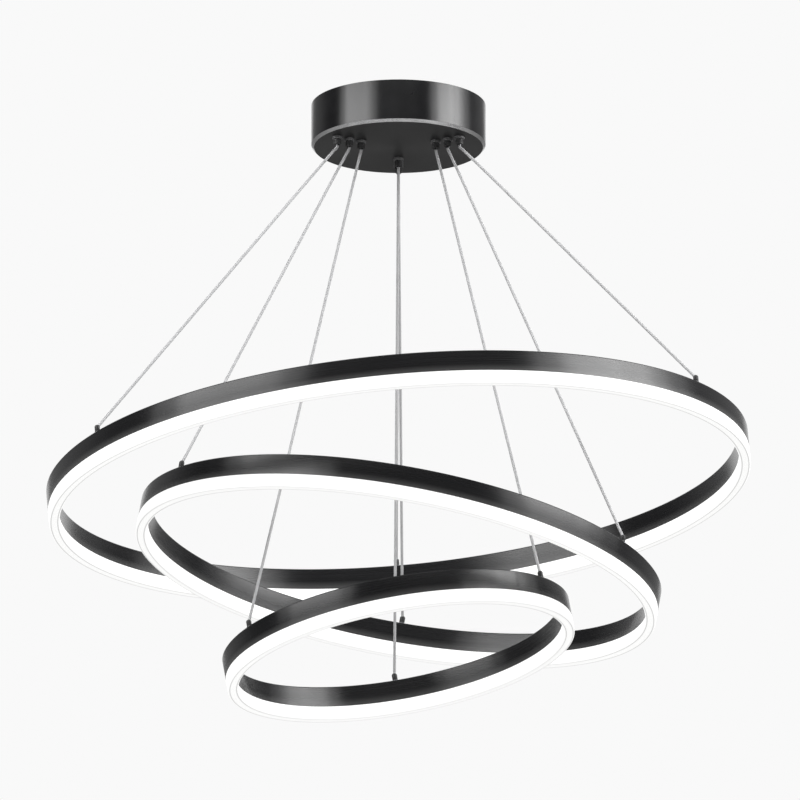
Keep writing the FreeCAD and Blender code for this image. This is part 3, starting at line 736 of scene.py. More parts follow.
@dataclass(frozen=True)
class PaleFloor(Finish):
    """A plain pale floor, which the camera sees almost as light as the backdrop.

    Attributes:
        colour: Its colour.
        lift: What the camera's view of it gains.
        cloud_scale: The cells of its faint unevenness, per metre.
        roughness: Its usual roughness.
    """

    colour: Corner = (0.38, 0.38, 0.377)
    lift: Corner = (0.6, 0.6, 0.6)
    cloud_scale: float = 3.0
    roughness: float = 0.85

    def draw(self, shader: Shader) -> None:
        """Writes a faint unevenness, and the light that only the camera sees.

        Args:
            shader: The material's shader.
        """
        seen = Signal(shader, shader.node("ShaderNodeLightPath").outputs["Is Camera Ray"])
        cloud = shader.noise(shader.spot(Place.SOLID), self.cloud_scale)
        shader.surface(
            Base_Color=shader.tint(cloud.ramp(0.2, 0.8), self.colour, toned(self.colour, 0.985)),
            Roughness=self.roughness + cloud.sway(0.1),
            Emission_Color=shader.tint(seen, UNLIT, self.lift),
            Emission_Strength=1.0)


BLACK_CUP = Lacquer("satin_black_lacquer")
BLACK_UNDERSIDE = Lacquer("matt_black_underside", (0.013, 0.013, 0.0135), 0.42, 0.42, 0.5)
BLACK_SMALL = Lacquer("black_turned_part", (0.03, 0.03, 0.0305), 0.45, 0.3)
BLACK_CHANNEL = Anodised("black_anodised_channel")
BEVEL_METAL = Metal("polished_bevel", (0.70, 0.70, 0.71), (0.58, 0.58, 0.59), 0.22,
                    (60.0, 60.0, 2600.0))
GREY_COLLAR = Lacquer("grey_turned_collar", (0.125, 0.125, 0.128), 0.5, 0.4)
WASHER_METAL = Metal("dark_satin_washer", (0.2, 0.2, 0.21), (0.14, 0.14, 0.15), 0.45,
                     (300.0, 300.0, 4000.0), 400.0)
PLUNGER_METAL = Metal("black_nickel_plunger", (0.10, 0.10, 0.105), (0.06, 0.06, 0.062), 0.28,
                      (300.0, 300.0, 4000.0), 500.0)
ZINC = Metal("zinc_plate", (0.66, 0.67, 0.69), (0.50, 0.51, 0.50), 0.36,
             (40.0, 900.0, 900.0), 160.0)
SCREW_STEEL = Metal("bright_screw_steel", (0.58, 0.58, 0.6), (0.42, 0.42, 0.43), 0.28,
                    (900.0, 900.0, 3000.0), 500.0)
BRASS = Metal("crimped_brass", (0.78, 0.60, 0.28), (0.58, 0.42, 0.18), 0.35,
              (400.0, 400.0, 2500.0), 300.0)
MILL_ALUMINIUM = Metal("mill_aluminium", (0.76, 0.77, 0.78), (0.64, 0.65, 0.66), 0.38,
                       (500.0, 500.0, 3000.0), 80.0)
OPAL = Opal("lit_opal")
STRANDS = Sheath("clear_sheath_on_strands")
BLOCK_PLASTIC = Moulded("terminal_block_plastic", (0.84, 0.83, 0.79), 0.32, 0.012 * MM)
CASE_PLASTIC = Moulded("driver_case_plastic", (0.78, 0.78, 0.76), 0.5, 0.05 * MM)
COMPONENT_PLASTIC = Moulded("component_sleeve", (0.035, 0.035, 0.04), 0.3, 0.02 * MM)
STRIP_WHITE = Moulded("white_flexible_strip", (0.88, 0.88, 0.85), 0.4, 0.01 * MM)
BOARD_GREEN = SolderMask("green_board")
CHIP_PHOSPHOR = Phosphor("led_phosphor")
MAINS_LEADS = LeadSheath("mains_lead_sheath",
                         ((0.16, 0.07, 0.03), (0.10, 0.36, 0.09), (0.03, 0.12, 0.42)), 5.0 * MM)
OUTPUT_LEADS = LeadSheath("output_lead_sheath",
                          ((0.45, 0.03, 0.03), (0.3, 0.03, 0.03), (0.02, 0.02, 0.022)), 1.0 * MM)


# ---- shapes ------------------------------------------------------------------------------------
def rounded(corners: list[Corner], steps: int = 5) -> list[Vector]:
    """Turns an outline's corners into points, with arcs at the rounded ones.

    Args:
        corners: (across, up), or (across, up, radius) for a rounded corner.
        steps: How many chords an arc has.

    Returns:
        The outline's points.
    """
    points = []
    for i, corner in enumerate(corners):
        here = Vector(corner[:2])
        if len(corner) == 2:
            points.append(here)
            continue
        before = (Vector(corners[i - 1][:2]) - here).normalized()
        after = (Vector(corners[(i + 1) % len(corners)][:2]) - here).normalized()
        half_angle = before.angle(after) / 2
        centre = here + (before + after).normalized() * (corner[2] / math.sin(half_angle))
        reach = corner[2] / math.tan(half_angle)
        first = here + before * reach - centre
        last = here + after * reach - centre
        for k in range(steps + 1):
            points.append(centre + first.lerp(last, k / steps).normalized() * corner[2])
    return points


def running(points: list[Vector], closed: bool) -> list[float]:
    """Measures along a line of points.

    Args:
        points: The line's points.
        closed: Whether the line goes on from the last point to the first.

    Returns:
        The distance from the first point at each point, and back at the first if it is closed.
    """
    path = points + points[:1] if closed else points
    lengths = [0.0]
    for start, end in zip(path, path[1:]):
        lengths.append(lengths[-1] + (end - start).length)
    return lengths


def spread(line: list[Vector], step: float) -> list[Vector]:
    """Gives points that are evenly spaced along a line.

    Args:
        line: The line's points.
        step: About how far apart the new points are.

    Returns:
        The new points, with the line's two ends.
    """
    lengths = running(line, False)
    count = math.ceil(lengths[-1] / step)
    points = []
    k = 0
    for i in range(count + 1):
        at = lengths[-1] * i / count
        while k < len(line) - 2 and lengths[k + 1] < at:
            k += 1
        share = (at - lengths[k]) / (lengths[k + 1] - lengths[k])
        points.append(line[k].lerp(line[k + 1], share))
    return points


class Mould:
    """Gathers surfaces into one mesh, with a UV map in metres."""

    def __init__(self) -> None:
        """Starts an empty mesh."""
        self.mesh = bmesh.new()
        self.uv = self.mesh.loops.layers.uv.new("UVMap")

    def skin(self, rows: list[list[Vector]], wrap_rows: bool = False,
             wrap_columns: bool = False, slots: list[int] | None = None) -> list[list[Any]]:
        """Lays a skin of quads over rows of points.

        Args:
            rows: The rows of points, all of one length.
            wrap_rows: Whether the last row joins the first.
            wrap_columns: Whether each row closes on itself.
            slots: The material slot of each band between two rows, or None for slot 0.

        Returns:
            The rows of mesh vertices.
        """
        made = [[self.mesh.verts.new(point) for point in row] for row in rows]
        widest = max(rows, key=lambda row: running(row, wrap_columns)[-1])
        across = running(widest, wrap_columns)
        along = running([row[0] for row in rows], wrap_rows)
        for i in range(len(rows) if wrap_rows else len(rows) - 1):
            upper, lower = made[i], made[(i + 1) % len(rows)]
            for j in range(len(upper) if wrap_columns else len(upper) - 1):
                k = (j + 1) % len(upper)
                face = self.mesh.faces.new((upper[j], upper[k], lower[k], lower[j]))
                face.material_index = slots[i] if slots else 0
                places = ((j, i), (j + 1, i), (j + 1, i + 1), (j, i + 1))
                for loop, (column, row) in zip(face.loops, places):
                    loop[self.uv].uv = (across[column], along[row])
        return made

    def cap(self, ring: list[Any], slot: int = 0) -> None:
        """Closes a ring of vertices with one face.

        Args:
            ring: The vertices.
            slot: The face's material slot.
        """
        face = self.mesh.faces.new(ring)
        face.material_index = slot
        for loop in face.loops:
            loop[self.uv].uv = loop.vert.co.xy

    def turn(self, outline: list[Vector], segments: int, centre: Vector = Vector(),
             slots: list[int] | None = None, closed: bool = True) -> list[list[Any]]:
        """Turns an outline about an upright axis.

        Args:
            outline: The outline's points, as distance from the axis and height.
            segments: How many flats the turned shape has.
            centre: Where the axis stands.
            slots: The material slot of each of the outline's edges.
            closed: Whether the outline goes on from its last point to its first.

        Returns:
            The rows of mesh vertices, one row for each point of the outline.
        """
        angles = [2 * math.pi * j / segments for j in range(segments)]
        rows = [[centre + Vector((p.x * math.cos(a), p.x * math.sin(a), p.y)) for a in angles]
                for p in outline]
        return self.skin(rows, closed, True, slots)

    def piece(self, name: str, finishes: list[Finish], body: str, slot: str, nodes: list[str],
              place: Matrix = Matrix.Identity(4), sharp: float = SHARP) -> bpy.types.Object:
        """Makes the piece, and has it ride on its body and stand for its CAD nodes.

        Args:
            name: The piece's name.
            finishes: The finish of each material slot.
            body: The CAD body that it rides on.
            slot: The record's material slot of its main finish; not used.
            nodes: The CAD nodes that it stands for.
            place: Where the mesh goes.
            sharp: The angle in degrees above which an edge is sharp.

        Returns:
            The new object.
        """
        bmesh.ops.recalc_face_normals(self.mesh, faces=self.mesh.faces[:])
        data = bpy.data.meshes.new(name)
        self.mesh.to_mesh(data)
        self.mesh.free()
        data.transform(place)
        data.shade_smooth()
        data.set_sharp_from_angle(angle=math.radians(sharp))
        for finish in finishes:
            data.materials.append(finish.material())
        made = bpy.data.objects.new(name, data)
        bpy.context.scene.collection.objects.link(made)
        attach(made, body)
        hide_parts(*nodes)
        log.info("%s: %d faces", name, len(data.polygons))
        return made


def dress(finish: Finish, *nodes: str) -> None:
    """Gives CAD nodes a finish.

    Args:
        finish: The finish.
        nodes: The nodes' names.
    """
    for name in nodes:
        node = frame["nodes"][name]
        if not node.material_slots:
            node.data.materials.append(None)
        for slot in node.material_slots:
            slot.material = finish.material()
        log.info("%s: %s", name, finish.name)


# ---- studio ------------------------------------------------------------------------------------
@dataclass(frozen=True)
class SoftBox:
    """A rectangular lamp that faces the chandelier, in upright strips of their own levels.

    Attributes:
        name: Its name.
        edges: The strips' edges, as azimuths in degrees: 0 is the viewer's side, 90 the right.
        levels: Each strip's power for its area, in watts for a square metre.
        elevation: Its height above the horizon, in degrees.
        height: Its height.
        distance: How far away it is.
    """

    name: str
    edges: Corner
    levels: Corner
    elevation: float = 17.0
    height: float = 1.6
    distance: float = 3.0

    def build(self, target: Vector) -> None:
        """Adds the strips.

        Args:
            target: The point that they face.
        """
        for start, end, level in zip(self.edges, self.edges[1:], self.levels):
            width = 2 * self.distance * math.tan(math.radians(end - start) / 2)
            self.strip(target, math.radians(start + end) / 2, width, level * width * self.height)

    def strip(self, target: Vector, turn: float, width: float, power: float) -> None:
        """Adds one strip.

        Args:
            target: The point that it faces.
            turn: Its azimuth.
            width: Its width.
            power: Its power in watts.
        """
        data = bpy.data.lights.new(self.name, "AREA")
        data.shape = "RECTANGLE"
        data.size = width
        data.size_y = self.height
        data.energy = power
        lamp = bpy.data.objects.new(self.name, data)
        bpy.context.scene.collection.objects.link(lamp)
        rise = math.radians(self.elevation)
        away = Vector((math.sin(turn) * math.cos(rise), -math.cos(turn) * math.cos(rise),
                       math.sin(rise)))
        lamp.location = target + away * self.distance
        lamp.rotation_euler = away.to_track_quat("Z", "Y").to_euler()
        lamp.visible_camera = False


BOXES = (
    SoftBox("left_box", (-82.0, -72.0, -44.0, -36.0, -28.0), (10.0, 28.0, 24.0, 11.0)),
    SoftBox("right_box", (43.0, 54.0, 74.0, 87.0, 95.0, 106.0), (15.0, 42.0, 36.0, 18.0, 6.0)),
    SoftBox("top_box", (-19.0, 19.0), (11.0,), 62.0, 2.0),
    SoftBox("back_box", (158.0, 202.0), (2.6,), 25.0))


@dataclass
class Studio:
    """The camera, the floor and the light.

    Attributes:
        tilt: How far the camera looks up, in degrees.
        width: The width of the picture at the chandelier.
        aim: The point at the middle of the picture.
        distance: From the camera to that point.
        lit_point: The point that the lamps face.
        floor_level: The height of the floor.
        floor_half: Half the floor's width.
        backdrop: The colour behind the chandelier.
        fill: The level of light from all round.
        mirrored_near: The level that gloss shows of the viewer's side of the room.
        mirrored_far: The level that gloss shows of the far side.
        turning: Where the near side's level gives way to the far side's.
    """

    tilt: float = 17.74
    width: float = 0.9087
    aim: Vector = Vector((0.00174, 0.0, -0.3508))
    distance: float = 1.2
    lit_point: Vector = Vector((0.0, 0.0, -0.3))
    floor_level: float = -2.5
    floor_half: float = 14.0
    backdrop: float = 0.947
    fill: float = 0.5
    mirrored_near: float = 0.02
    mirrored_far: float = 0.28
    turning: Corner = (0.2, 0.6)

    def camera(self) -> None:
        """Adds the camera: a level projection that looks up at the rings."""
        data = bpy.data.cameras.new("camera")
        data.type = "ORTHO"
        data.ortho_scale = self.width
        eye = bpy.data.objects.new("camera", data)
        bpy.context.scene.collection.objects.link(eye)
        tilt = math.radians(self.tilt)
        eye.location = self.aim - Vector((0, math.cos(tilt), math.sin(tilt))) * self.distance
        eye.rotation_euler = (math.pi / 2 + tilt, 0, 0)
        bpy.context.scene.camera = eye
        bpy.context.scene.view_settings.view_transform = "Standard"

    def world(self) -> None:
        """Adds the pale surroundings, darker in gloss on the viewer's side of the room."""
        surroundings = bpy.data.worlds.new("room")
        surroundings.use_nodes = True
        bpy.context.scene.world = surroundings
        shader = Shader(surroundings.node_tree)
        rays = shader.node("ShaderNodeLightPath")
        seen, glossy, through = (Signal(shader, rays.outputs[name]) for name in
                                 ("Is Camera Ray", "Is Glossy Ray", "Is Transmission Ray"))
        source = shader.node("ShaderNodeTexCoord").outputs["Generated"]
        _, depth, _ = (Signal(shader, output) for output in
                       shader.node("ShaderNodeSeparateXYZ", None, {0: source}).outputs)
        gain = self.mirrored_far - self.mirrored_near
        mirrored = depth.ramp(*self.turning) * gain + self.mirrored_near
        level = self.fill + glossy * (mirrored - self.fill)
        level = level + seen.larger(through) * (self.backdrop - level)
        shown = shader.node("ShaderNodeCombineColor", None,
                            {"Red": level, "Green": level, "Blue": level}).outputs[0]
        light = shader.node("ShaderNodeBackground", None, {"Color": shown, "Strength": 1.0})
        shader.node("ShaderNodeOutputWorld", None, {"Surface": light.outputs[0]})

    def floor(self) -> None:
        """Adds the plain pale floor."""
        half = self.floor_half
        data = bpy.data.meshes.new("floor")
        data.from_pydata([(-half, -half, self.floor_level), (half, -half, self.floor_level),
                          (half, half, self.floor_level), (-half, half, self.floor_level)],
                         [], [(0, 1, 2, 3)])
        data.materials.append(PaleFloor("pale_floor").material())
        made = bpy.data.objects.new("floor", data)
        bpy.context.scene.collection.objects.link(made)

    def build(self) -> None:
        """Adds the camera, the surroundings, the floor and the lamps."""
        self.camera()
        self.world()
        self.floor()
        for box in BOXES:
            box.build(self.lit_point)


# ---- the suspension ----------------------------------------------------------------------------
@dataclass(frozen=True)
class RingPlan:
    """What sets one ring apart from the others.

    Attributes:
        name: Its name in the CAD model.
        radius: Its outer radius.
        drop: How far its middle hangs below the ceiling.
        tilt: Its tilt about Y, in degrees.
        grip_radius: How far its grippers are from the canopy's middle.
        back_grip_radius: The same for its gripper at the back.
        height: The height of its section.
        width: The width of its section.
        swivel_height: How far its terminals' swivels are above its top face.
    """

    name: str
    radius: float
    drop: float
    tilt: float
    grip_radius: float
    back_grip_radius: float
    height: float = 39.2 * MM
    width: float = 12.0 * MM
    swivel_height: float = 6.8 * MM

    @property
    def place(self) -> Matrix:
        """Where the ring hangs: its own frame has the middle of its top face as origin."""
        hung = Matrix.Translation((0, 0, -self.drop)) @ Matrix.Rotation(
            math.radians(self.tilt), 4, "Y")
        return hung @ Matrix.Translation((0, 0, self.height / 2))

    @property
    def middle(self) -> float:
        """The radius of the middle of its section."""
        return self.radius - self.width / 2

    def terminal(self, side: Side) -> Vector:
        """Gives the foot of a terminal in the ring's own frame."""
        turn = math.radians(side.value)
        return Vector((self.middle * math.cos(turn), self.middle * math.sin(turn), 0.0))

    def swivel(self, side: Side) -> Vector:
        """Gives the middle of a terminal's swivel ball."""
        return self.place @ (self.terminal(side) + Vector((0, 0, self.swivel_height)))

    def grip(self, side: Side) -> Vector:
        """Gives the axis of one of its grippers.

        Args:
            side: Which of the three.

        Returns:
            The axis's point at the level of the ceiling.
        """
        turn = math.radians(side.value)
        radius = self.back_grip_radius if side is Side.BACK else self.grip_radius
        return Vector((radius * math.cos(turn), radius * math.sin(turn), 0.0))


LARGE = RingPlan("large", 400.0 * MM, 443.1 * MM, -5.0, 80.0 * MM, 65.0 * MM)
MIDDLE = RingPlan("middle", 300.0 * MM, 543.4 * MM, 10.0, 64.5 * MM, 53.0 * MM)
SMALL = RingPlan("small", 200.0 * MM, 643.7 * MM, -10.0, 49.0 * MM, 41.0 * MM)
PLANS = (LARGE, MIDDLE, SMALL)


@dataclass
class SuspensionWires:
    """The nine wires, each taut from its gripper's mouth to a swivel on its ring.

    Attributes:
        radius: A wire's radius.
        sheath: How much the clear sheath adds to it.
        strands: How many outer strands are laid round its core.
        groove: How deep the hollows between the strands are, under the sheath.
        lay: The length in which a strand goes round once.
        mouth: The level of the grippers' mouths.
        swivel_radius: The radius of the ball that a wire ends in.
        straight_out: How far a wire leaves its gripper straight down.
        bent_by: Where it is on its straight way.
        step: The distance between two rings of points.
        sharp: The angle in degrees above which an edge is sharp.
    """

    radius: float = 1.5 * MM
    sheath: float = 0.15 * MM
    strands: int = 6
    groove: float = 0.03 * MM
    lay: float = 21.0 * MM
    mouth: float = -60.5 * MM
    swivel_radius: float = 3.1 * MM
    straight_out: float = 1.8 * MM
    bent_by: float = 11.0 * MM
    step: float = 1.7 * MM
    sharp: float = 75.0

    def route(self, plan: RingPlan, side: Side) -> list[Vector]:
        """Gives the points that steer a wire, from its gripper's mouth to its swivel.

        Args:
            plan: The wire's ring.
            side: Which of the ring's three wires it is.

        Returns:
            The control points.
        """
        start = plan.grip(side) + Vector((0, 0, self.mouth))
        centre = plan.swivel(side)
        along = (centre - start).normalized()
        end = centre - along * (self.swivel_radius - self.radius / 4)
        return [start, start - Vector((0, 0, self.straight_out)), start + along * self.bent_by,
                start.lerp(end, 0.5), end]

    def smooth(self, route: list[Vector]) -> list[Vector]:
        """Gives the points of the smooth line that a route steers.

        Args:
            route: The route's points.

        Returns:
            The points of its NURBS spline, as Blender draws it.
        """
        curve = bpy.data.curves.new("route", "CURVE")
        curve.dimensions = "3D"
        curve.resolution_u = 32
        spline = curve.splines.new("NURBS")
        spline.points.add(len(route) - 1)
        for point, place in zip(spline.points, route):
            point.co = (*place, 1.0)
        spline.order_u = 3
        spline.use_endpoint_u = True
        holder = bpy.data.objects.new("route", curve)
        mesh = bpy.data.meshes.new_from_object(holder)
        line = [vertex.co.copy() for vertex in mesh.vertices]
        bpy.data.meshes.remove(mesh)
        bpy.data.objects.remove(holder)
        bpy.data.curves.remove(curve)
        return line

    def section(self, turn: float) -> list[tuple[float, float]]:
        """Gives the section of the laid strands.

        Args:
            turn: The angle by which the lay has turned it.

        Returns:
            The section's points, each as an angle and a radius.
        """
        count = 4 * self.strands
        points = []
        for k in range(count):
            hollow = self.groove * (1 - abs(math.sin(math.pi * k / 4)))
            points.append((turn + 2 * math.pi * k / count, self.radius + self.sheath - hollow))
        return points

    def build_one(self, plan: RingPlan, side: Side) -> None:
        """Builds a wire.

        Args:
            plan: The wire's ring.
            side: Which of the ring's three wires it is.
        """
        route = self.route(plan, side)
        line = spread(self.smooth(route), self.step)
        lengths = running(line, False)
        across = (route[-1] - route[0]).cross(Vector((0, 0, 1))).normalized()
        rows = []
        for i, point in enumerate(line):
            ahead = (line[min(i + 1, len(line) - 1)] - line[max(i - 1, 0)]).normalized()
            other = ahead.cross(across)
            rows.append([point + (across * math.cos(a) + other * math.sin(a)) * r
                         for a, r in self.section(2 * math.pi * lengths[i] / self.lay)])
        mould = Mould()
        skin = mould.skin(rows, wrap_columns=True)
        mould.cap(skin[0])
        mould.cap(skin[-1])
        node = f"wire_{plan.name}_{side.label}"
        wire = mould.piece(f"{node}_strands", [STRANDS], CANOPY_BODY, "wire_sheath", [node],
                           sharp=self.sharp)
        joint = f"ring_{plan.name}_height"
        travel = next(j["range_m"][1] for j in frame["joints"] if j["name"] == joint)
        fall = route[0].z - route[-1].z
        (fall - travel) / fall
        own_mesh(wire)

    def build(self) -> None:
        """Builds the nine wires."""
        for plan in PLANS:
            for side in Side:
                self.build_one(plan, side)

    def dress(self) -> None:
        """Finishes the tails of the wires inside the canopy, and their crimped stops."""
        dress(STRANDS, "wire_tails")
        dress(BRASS, "wire_stops")


# ---- the canopy --------------------------------------------------------------------------------
@dataclass
class Canopy:
    """The spun cup on the ceiling and the bracket that holds it.

    Attributes:
        radius: The cup's outer radius.
        height: Its height.
        wall: The thickness of its wall.
        floor: The thickness of its floor.
        bevel: The width of the polished bevel round its lower edge.
        fillet: The rounding inside it, between the wall and the floor.
        softening: The rounding of its edges.
        disc: The radius of the flat disc in the middle of its floor.
        screw_level: The level of its two set screws.
        screw_hole: The radius of their holes.
        segments: How many flats the cup has.
    """

    radius: float = 99.0 * MM
    height: float = 49.5 * MM
    wall: float = 1.2 * MM
    floor: float = 2.0 * MM
    bevel: float = 3.0 * MM
    fillet: float = 2.5 * MM
    softening: float = 0.25 * MM
    disc: float = 1.0 * MM
    screw_level: float = -10.0 * MM
    screw_hole: float = 2.15 * MM
    segments: int = 256

    def build(self) -> None:
        """Builds the cup, with a hole on each side for its set screw."""
        low = -self.height
        inner = self.radius - self.wall
        soft = self.softening
        outline = rounded([
            (self.disc, low), (self.radius - self.bevel, low, soft),
            (self.radius, low + self.bevel, soft), (self.radius, 0.0, soft), (inner, 0.0, soft),
            (inner, low + self.floor, self.fillet), (self.disc, low + self.floor)])
        wall, bevel, underside = range(3)
        slots = []
        for start, end in zip(outline, outline[1:]):
            across, up = (start + end) / 2
            if across > self.radius - self.bevel - soft and up < low + self.bevel:
                slots.append(bevel)
            else:
                slots.append(underside if up < low + soft / 2 else wall)
        mould = Mould()
        rows = mould.turn(outline, self.segments, slots=slots, closed=False)
        mould.cap(rows[0], underside)
        mould.cap(rows[-1], wall)
        cup = mould.piece("canopy_spun_cup", [BLACK_CUP, BEVEL_METAL, BLACK_UNDERSIDE],
                          CANOPY_BODY, "black_metal", ["canopy_cup"])
        self.drill(cup)

    def drill(self, cup: bpy.types.Object) -> None:
        """Cuts the set screws' holes through the cup's wall.

        Args:
            cup: The cup.
        """
        tool_mesh = bmesh.new()
        across = (Matrix.Translation((0, 0, self.screw_level))
                  @ Matrix.Rotation(math.pi / 2, 4, "Y"))
        bmesh.ops.create_cone(tool_mesh, cap_ends=True, segments=48, radius1=self.screw_hole,
                              radius2=self.screw_hole, depth=2.2 * self.radius, matrix=across)
        data = bpy.data.meshes.new("drill")
        tool_mesh.to_mesh(data)
        tool_mesh.free()
        tool = bpy.data.objects.new("drill", data)
        bpy.context.scene.collection.objects.link(tool)
        cut = cup.modifiers.new("drill", "BOOLEAN")
        cut.object = tool
        cut.solver = "EXACT"
        bpy.context.view_layer.update()
        drilled = bpy.data.meshes.new_from_object(
            cup.evaluated_get(bpy.context.evaluated_depsgraph_get()))
        cup.modifiers.clear()
        cup.data = drilled
        drilled.set_sharp_from_angle(angle=math.radians(SHARP))
        bpy.data.objects.remove(tool)

    def dress(self) -> None:
        """Finishes the bracket and the screws."""
        dress(ZINC, "ceiling_bracket")
        dress(SCREW_STEEL, "canopy_set_screws", "driver_screws", "terminal_block_screws")


@dataclass
class Electrics:
    """The terminal block, the driver and the leads inside the canopy."""

    def dress(self) -> None:
        """Finishes each of them."""
        dress(BLOCK_PLASTIC, "terminal_block")
        dress(CASE_PLASTIC, "driver_case", "driver_cover")
        dress(BOARD_GREEN, "driver_board")
        dress(COMPONENT_PLASTIC, "driver_components")
        dress(MAINS_LEADS, "mains_leads")
        dress(OUTPUT_LEADS, "output_leads")


@dataclass
class Grippers:
    """The nine cable grippers in the canopy's floor.

    Attributes:
        floor_bottom: The level of the canopy's underside.
        floor_top: The level of the top of its floor.
        collar_radius: The collar's radius.
        collar_height: The collar's height.
        neck_radius: The radius of the neck below the collar.
        neck_height: The neck's height.
        barrel_radius: The barrel's radius.
        barrel_height: The barrel's height.
        guide_radius: The radius of the hole that the plunger slides in.
        shank_radius: The threaded shank's radius.
        shank_top: The level of its top.
        bore_radius: The radius of the wire's hole.
        thread_pitch: The pitch of the shank's thread.
        thread_depth: The depth of the thread.
        line_levels: Where the line turned into a collar starts and ends, from its lower face.
        line_depth: The depth of that line.
        groove_levels: How far the grooves round the barrel are above its mouth.
        groove_depth: Their depth.
        sharp: The angle in degrees above which an edge is sharp.
        segments: How many flats a turned part has.
    """

    floor_bottom: float = -49.5 * MM
    floor_top: float = -47.5 * MM
    collar_radius: float = 5.8 * MM
    collar_height: float = 3.0 * MM
    neck_radius: float = 3.8 * MM
    neck_height: float = 0.6 * MM
    barrel_radius: float = 4.4 * MM
    barrel_height: float = 5.9 * MM
    guide_radius: float = 2.35 * MM
    shank_radius: float = 3.5 * MM
    shank_top: float = -42.1 * MM
    bore_radius: float = 1.7 * MM
    thread_pitch: float = 0.75 * MM
    thread_depth: float = 0.35 * MM
    line_levels: Corner = (1.0 * MM, 1.4 * MM)
    line_depth: float = 0.12 * MM
    groove_levels: Corner = (1.8 * MM, 2.6 * MM, 3.4 * MM)
    groove_depth: float = 0.2 * MM
    sharp: float = 50.0
    segments: int = 48

    def collar(self) -> list[Vector]:
        """Draws a collar, with a line turned round it.

        Returns:
            The outline's points.
        """
        low = self.floor_bottom - self.collar_height
        out, line = self.collar_radius, self.collar_radius - self.line_depth
        start, end = (low + level for level in self.line_levels)
        flank = 0.1 * MM
        return rounded([
            (self.shank_radius, low), (out, low, 0.35 * MM), (out, start),
            (line, start + flank), (line, end - flank), (out, end),
            (out, self.floor_bottom, 0.15 * MM), (self.shank_radius, self.floor_bottom)], 4)

    def thread(self, low: float, high: float) -> list[Corner]:
        """Draws a thread's flanks.

        Args:
            low: The level of its lower end.
            high: The level that it stops below.

        Returns:
            The corners of the flanks, from the lower end up.
        """
        corners = []
        for i in range(int((high - low) / self.thread_pitch)):
            at = low + i * self.thread_pitch
            corners.append((self.shank_radius, at))
            corners.append((self.shank_radius - self.thread_depth, at + self.thread_pitch / 2))
        return corners

    def barrel(self) -> list[Vector]:
        """Draws a gripper's body, from its mouth to the top of its shank.

        Returns:
            The outline's points.
        """
        top = self.floor_bottom - self.collar_height - self.neck_height
        low = top - self.barrel_height
        out = self.barrel_radius
        groove = self.groove_depth
        corners = [(self.guide_radius, low), (out, low, 0.7 * MM)]
        for level in self.groove_levels:
            corners += [(out, low + level), (out - groove, low + level + groove),
                        (out, low + level + 2 * groove)]
        corners += [(out, top, 0.4 * MM), (self.neck_radius, top),
                    (self.neck_radius, top + self.neck_height),
                    (self.shank_radius, top + self.neck_height),
                    (self.shank_radius, self.floor_top)]
        corners += self.thread(self.floor_top + 0.1 * MM, self.shank_top - 0.4 * MM)
        corners += [(self.shank_radius - 0.4 * MM, self.shank_top),
                    (self.bore_radius, self.shank_top), (self.bore_radius, low + 8.0 * MM),
                    (self.guide_radius, low + 6.0 * MM)]
        return rounded(corners, 4)

    def build(self) -> None:
        """Builds the collars and the bodies."""
        collars, barrels = Mould(), Mould()
        for plan in PLANS:
            for side in Side:
                collars.turn(self.collar(), self.segments, plan.grip(side))
                barrels.turn(self.barrel(), self.segments, plan.grip(side))
        collars.piece("gripper_turned_collars", [GREY_COLLAR], CANOPY_BODY, "collar_metal",
                      ["gripper_collars"], sharp=self.sharp)
        barrels.piece("gripper_turned_bodies", [BLACK_SMALL], CANOPY_BODY, "black_metal_small",
                      ["gripper_bodies"], sharp=self.sharp)

    def dress(self) -> None:
        """Finishes the plungers, the locknuts and the springs."""
        dress(PLUNGER_METAL, *(f"plunger_{plan.name}_{side.label}" for plan in PLANS
                               for side in Side))
        dress(ZINC, "gripper_locknuts")
        dress(SCREW_STEEL, "gripper_springs")


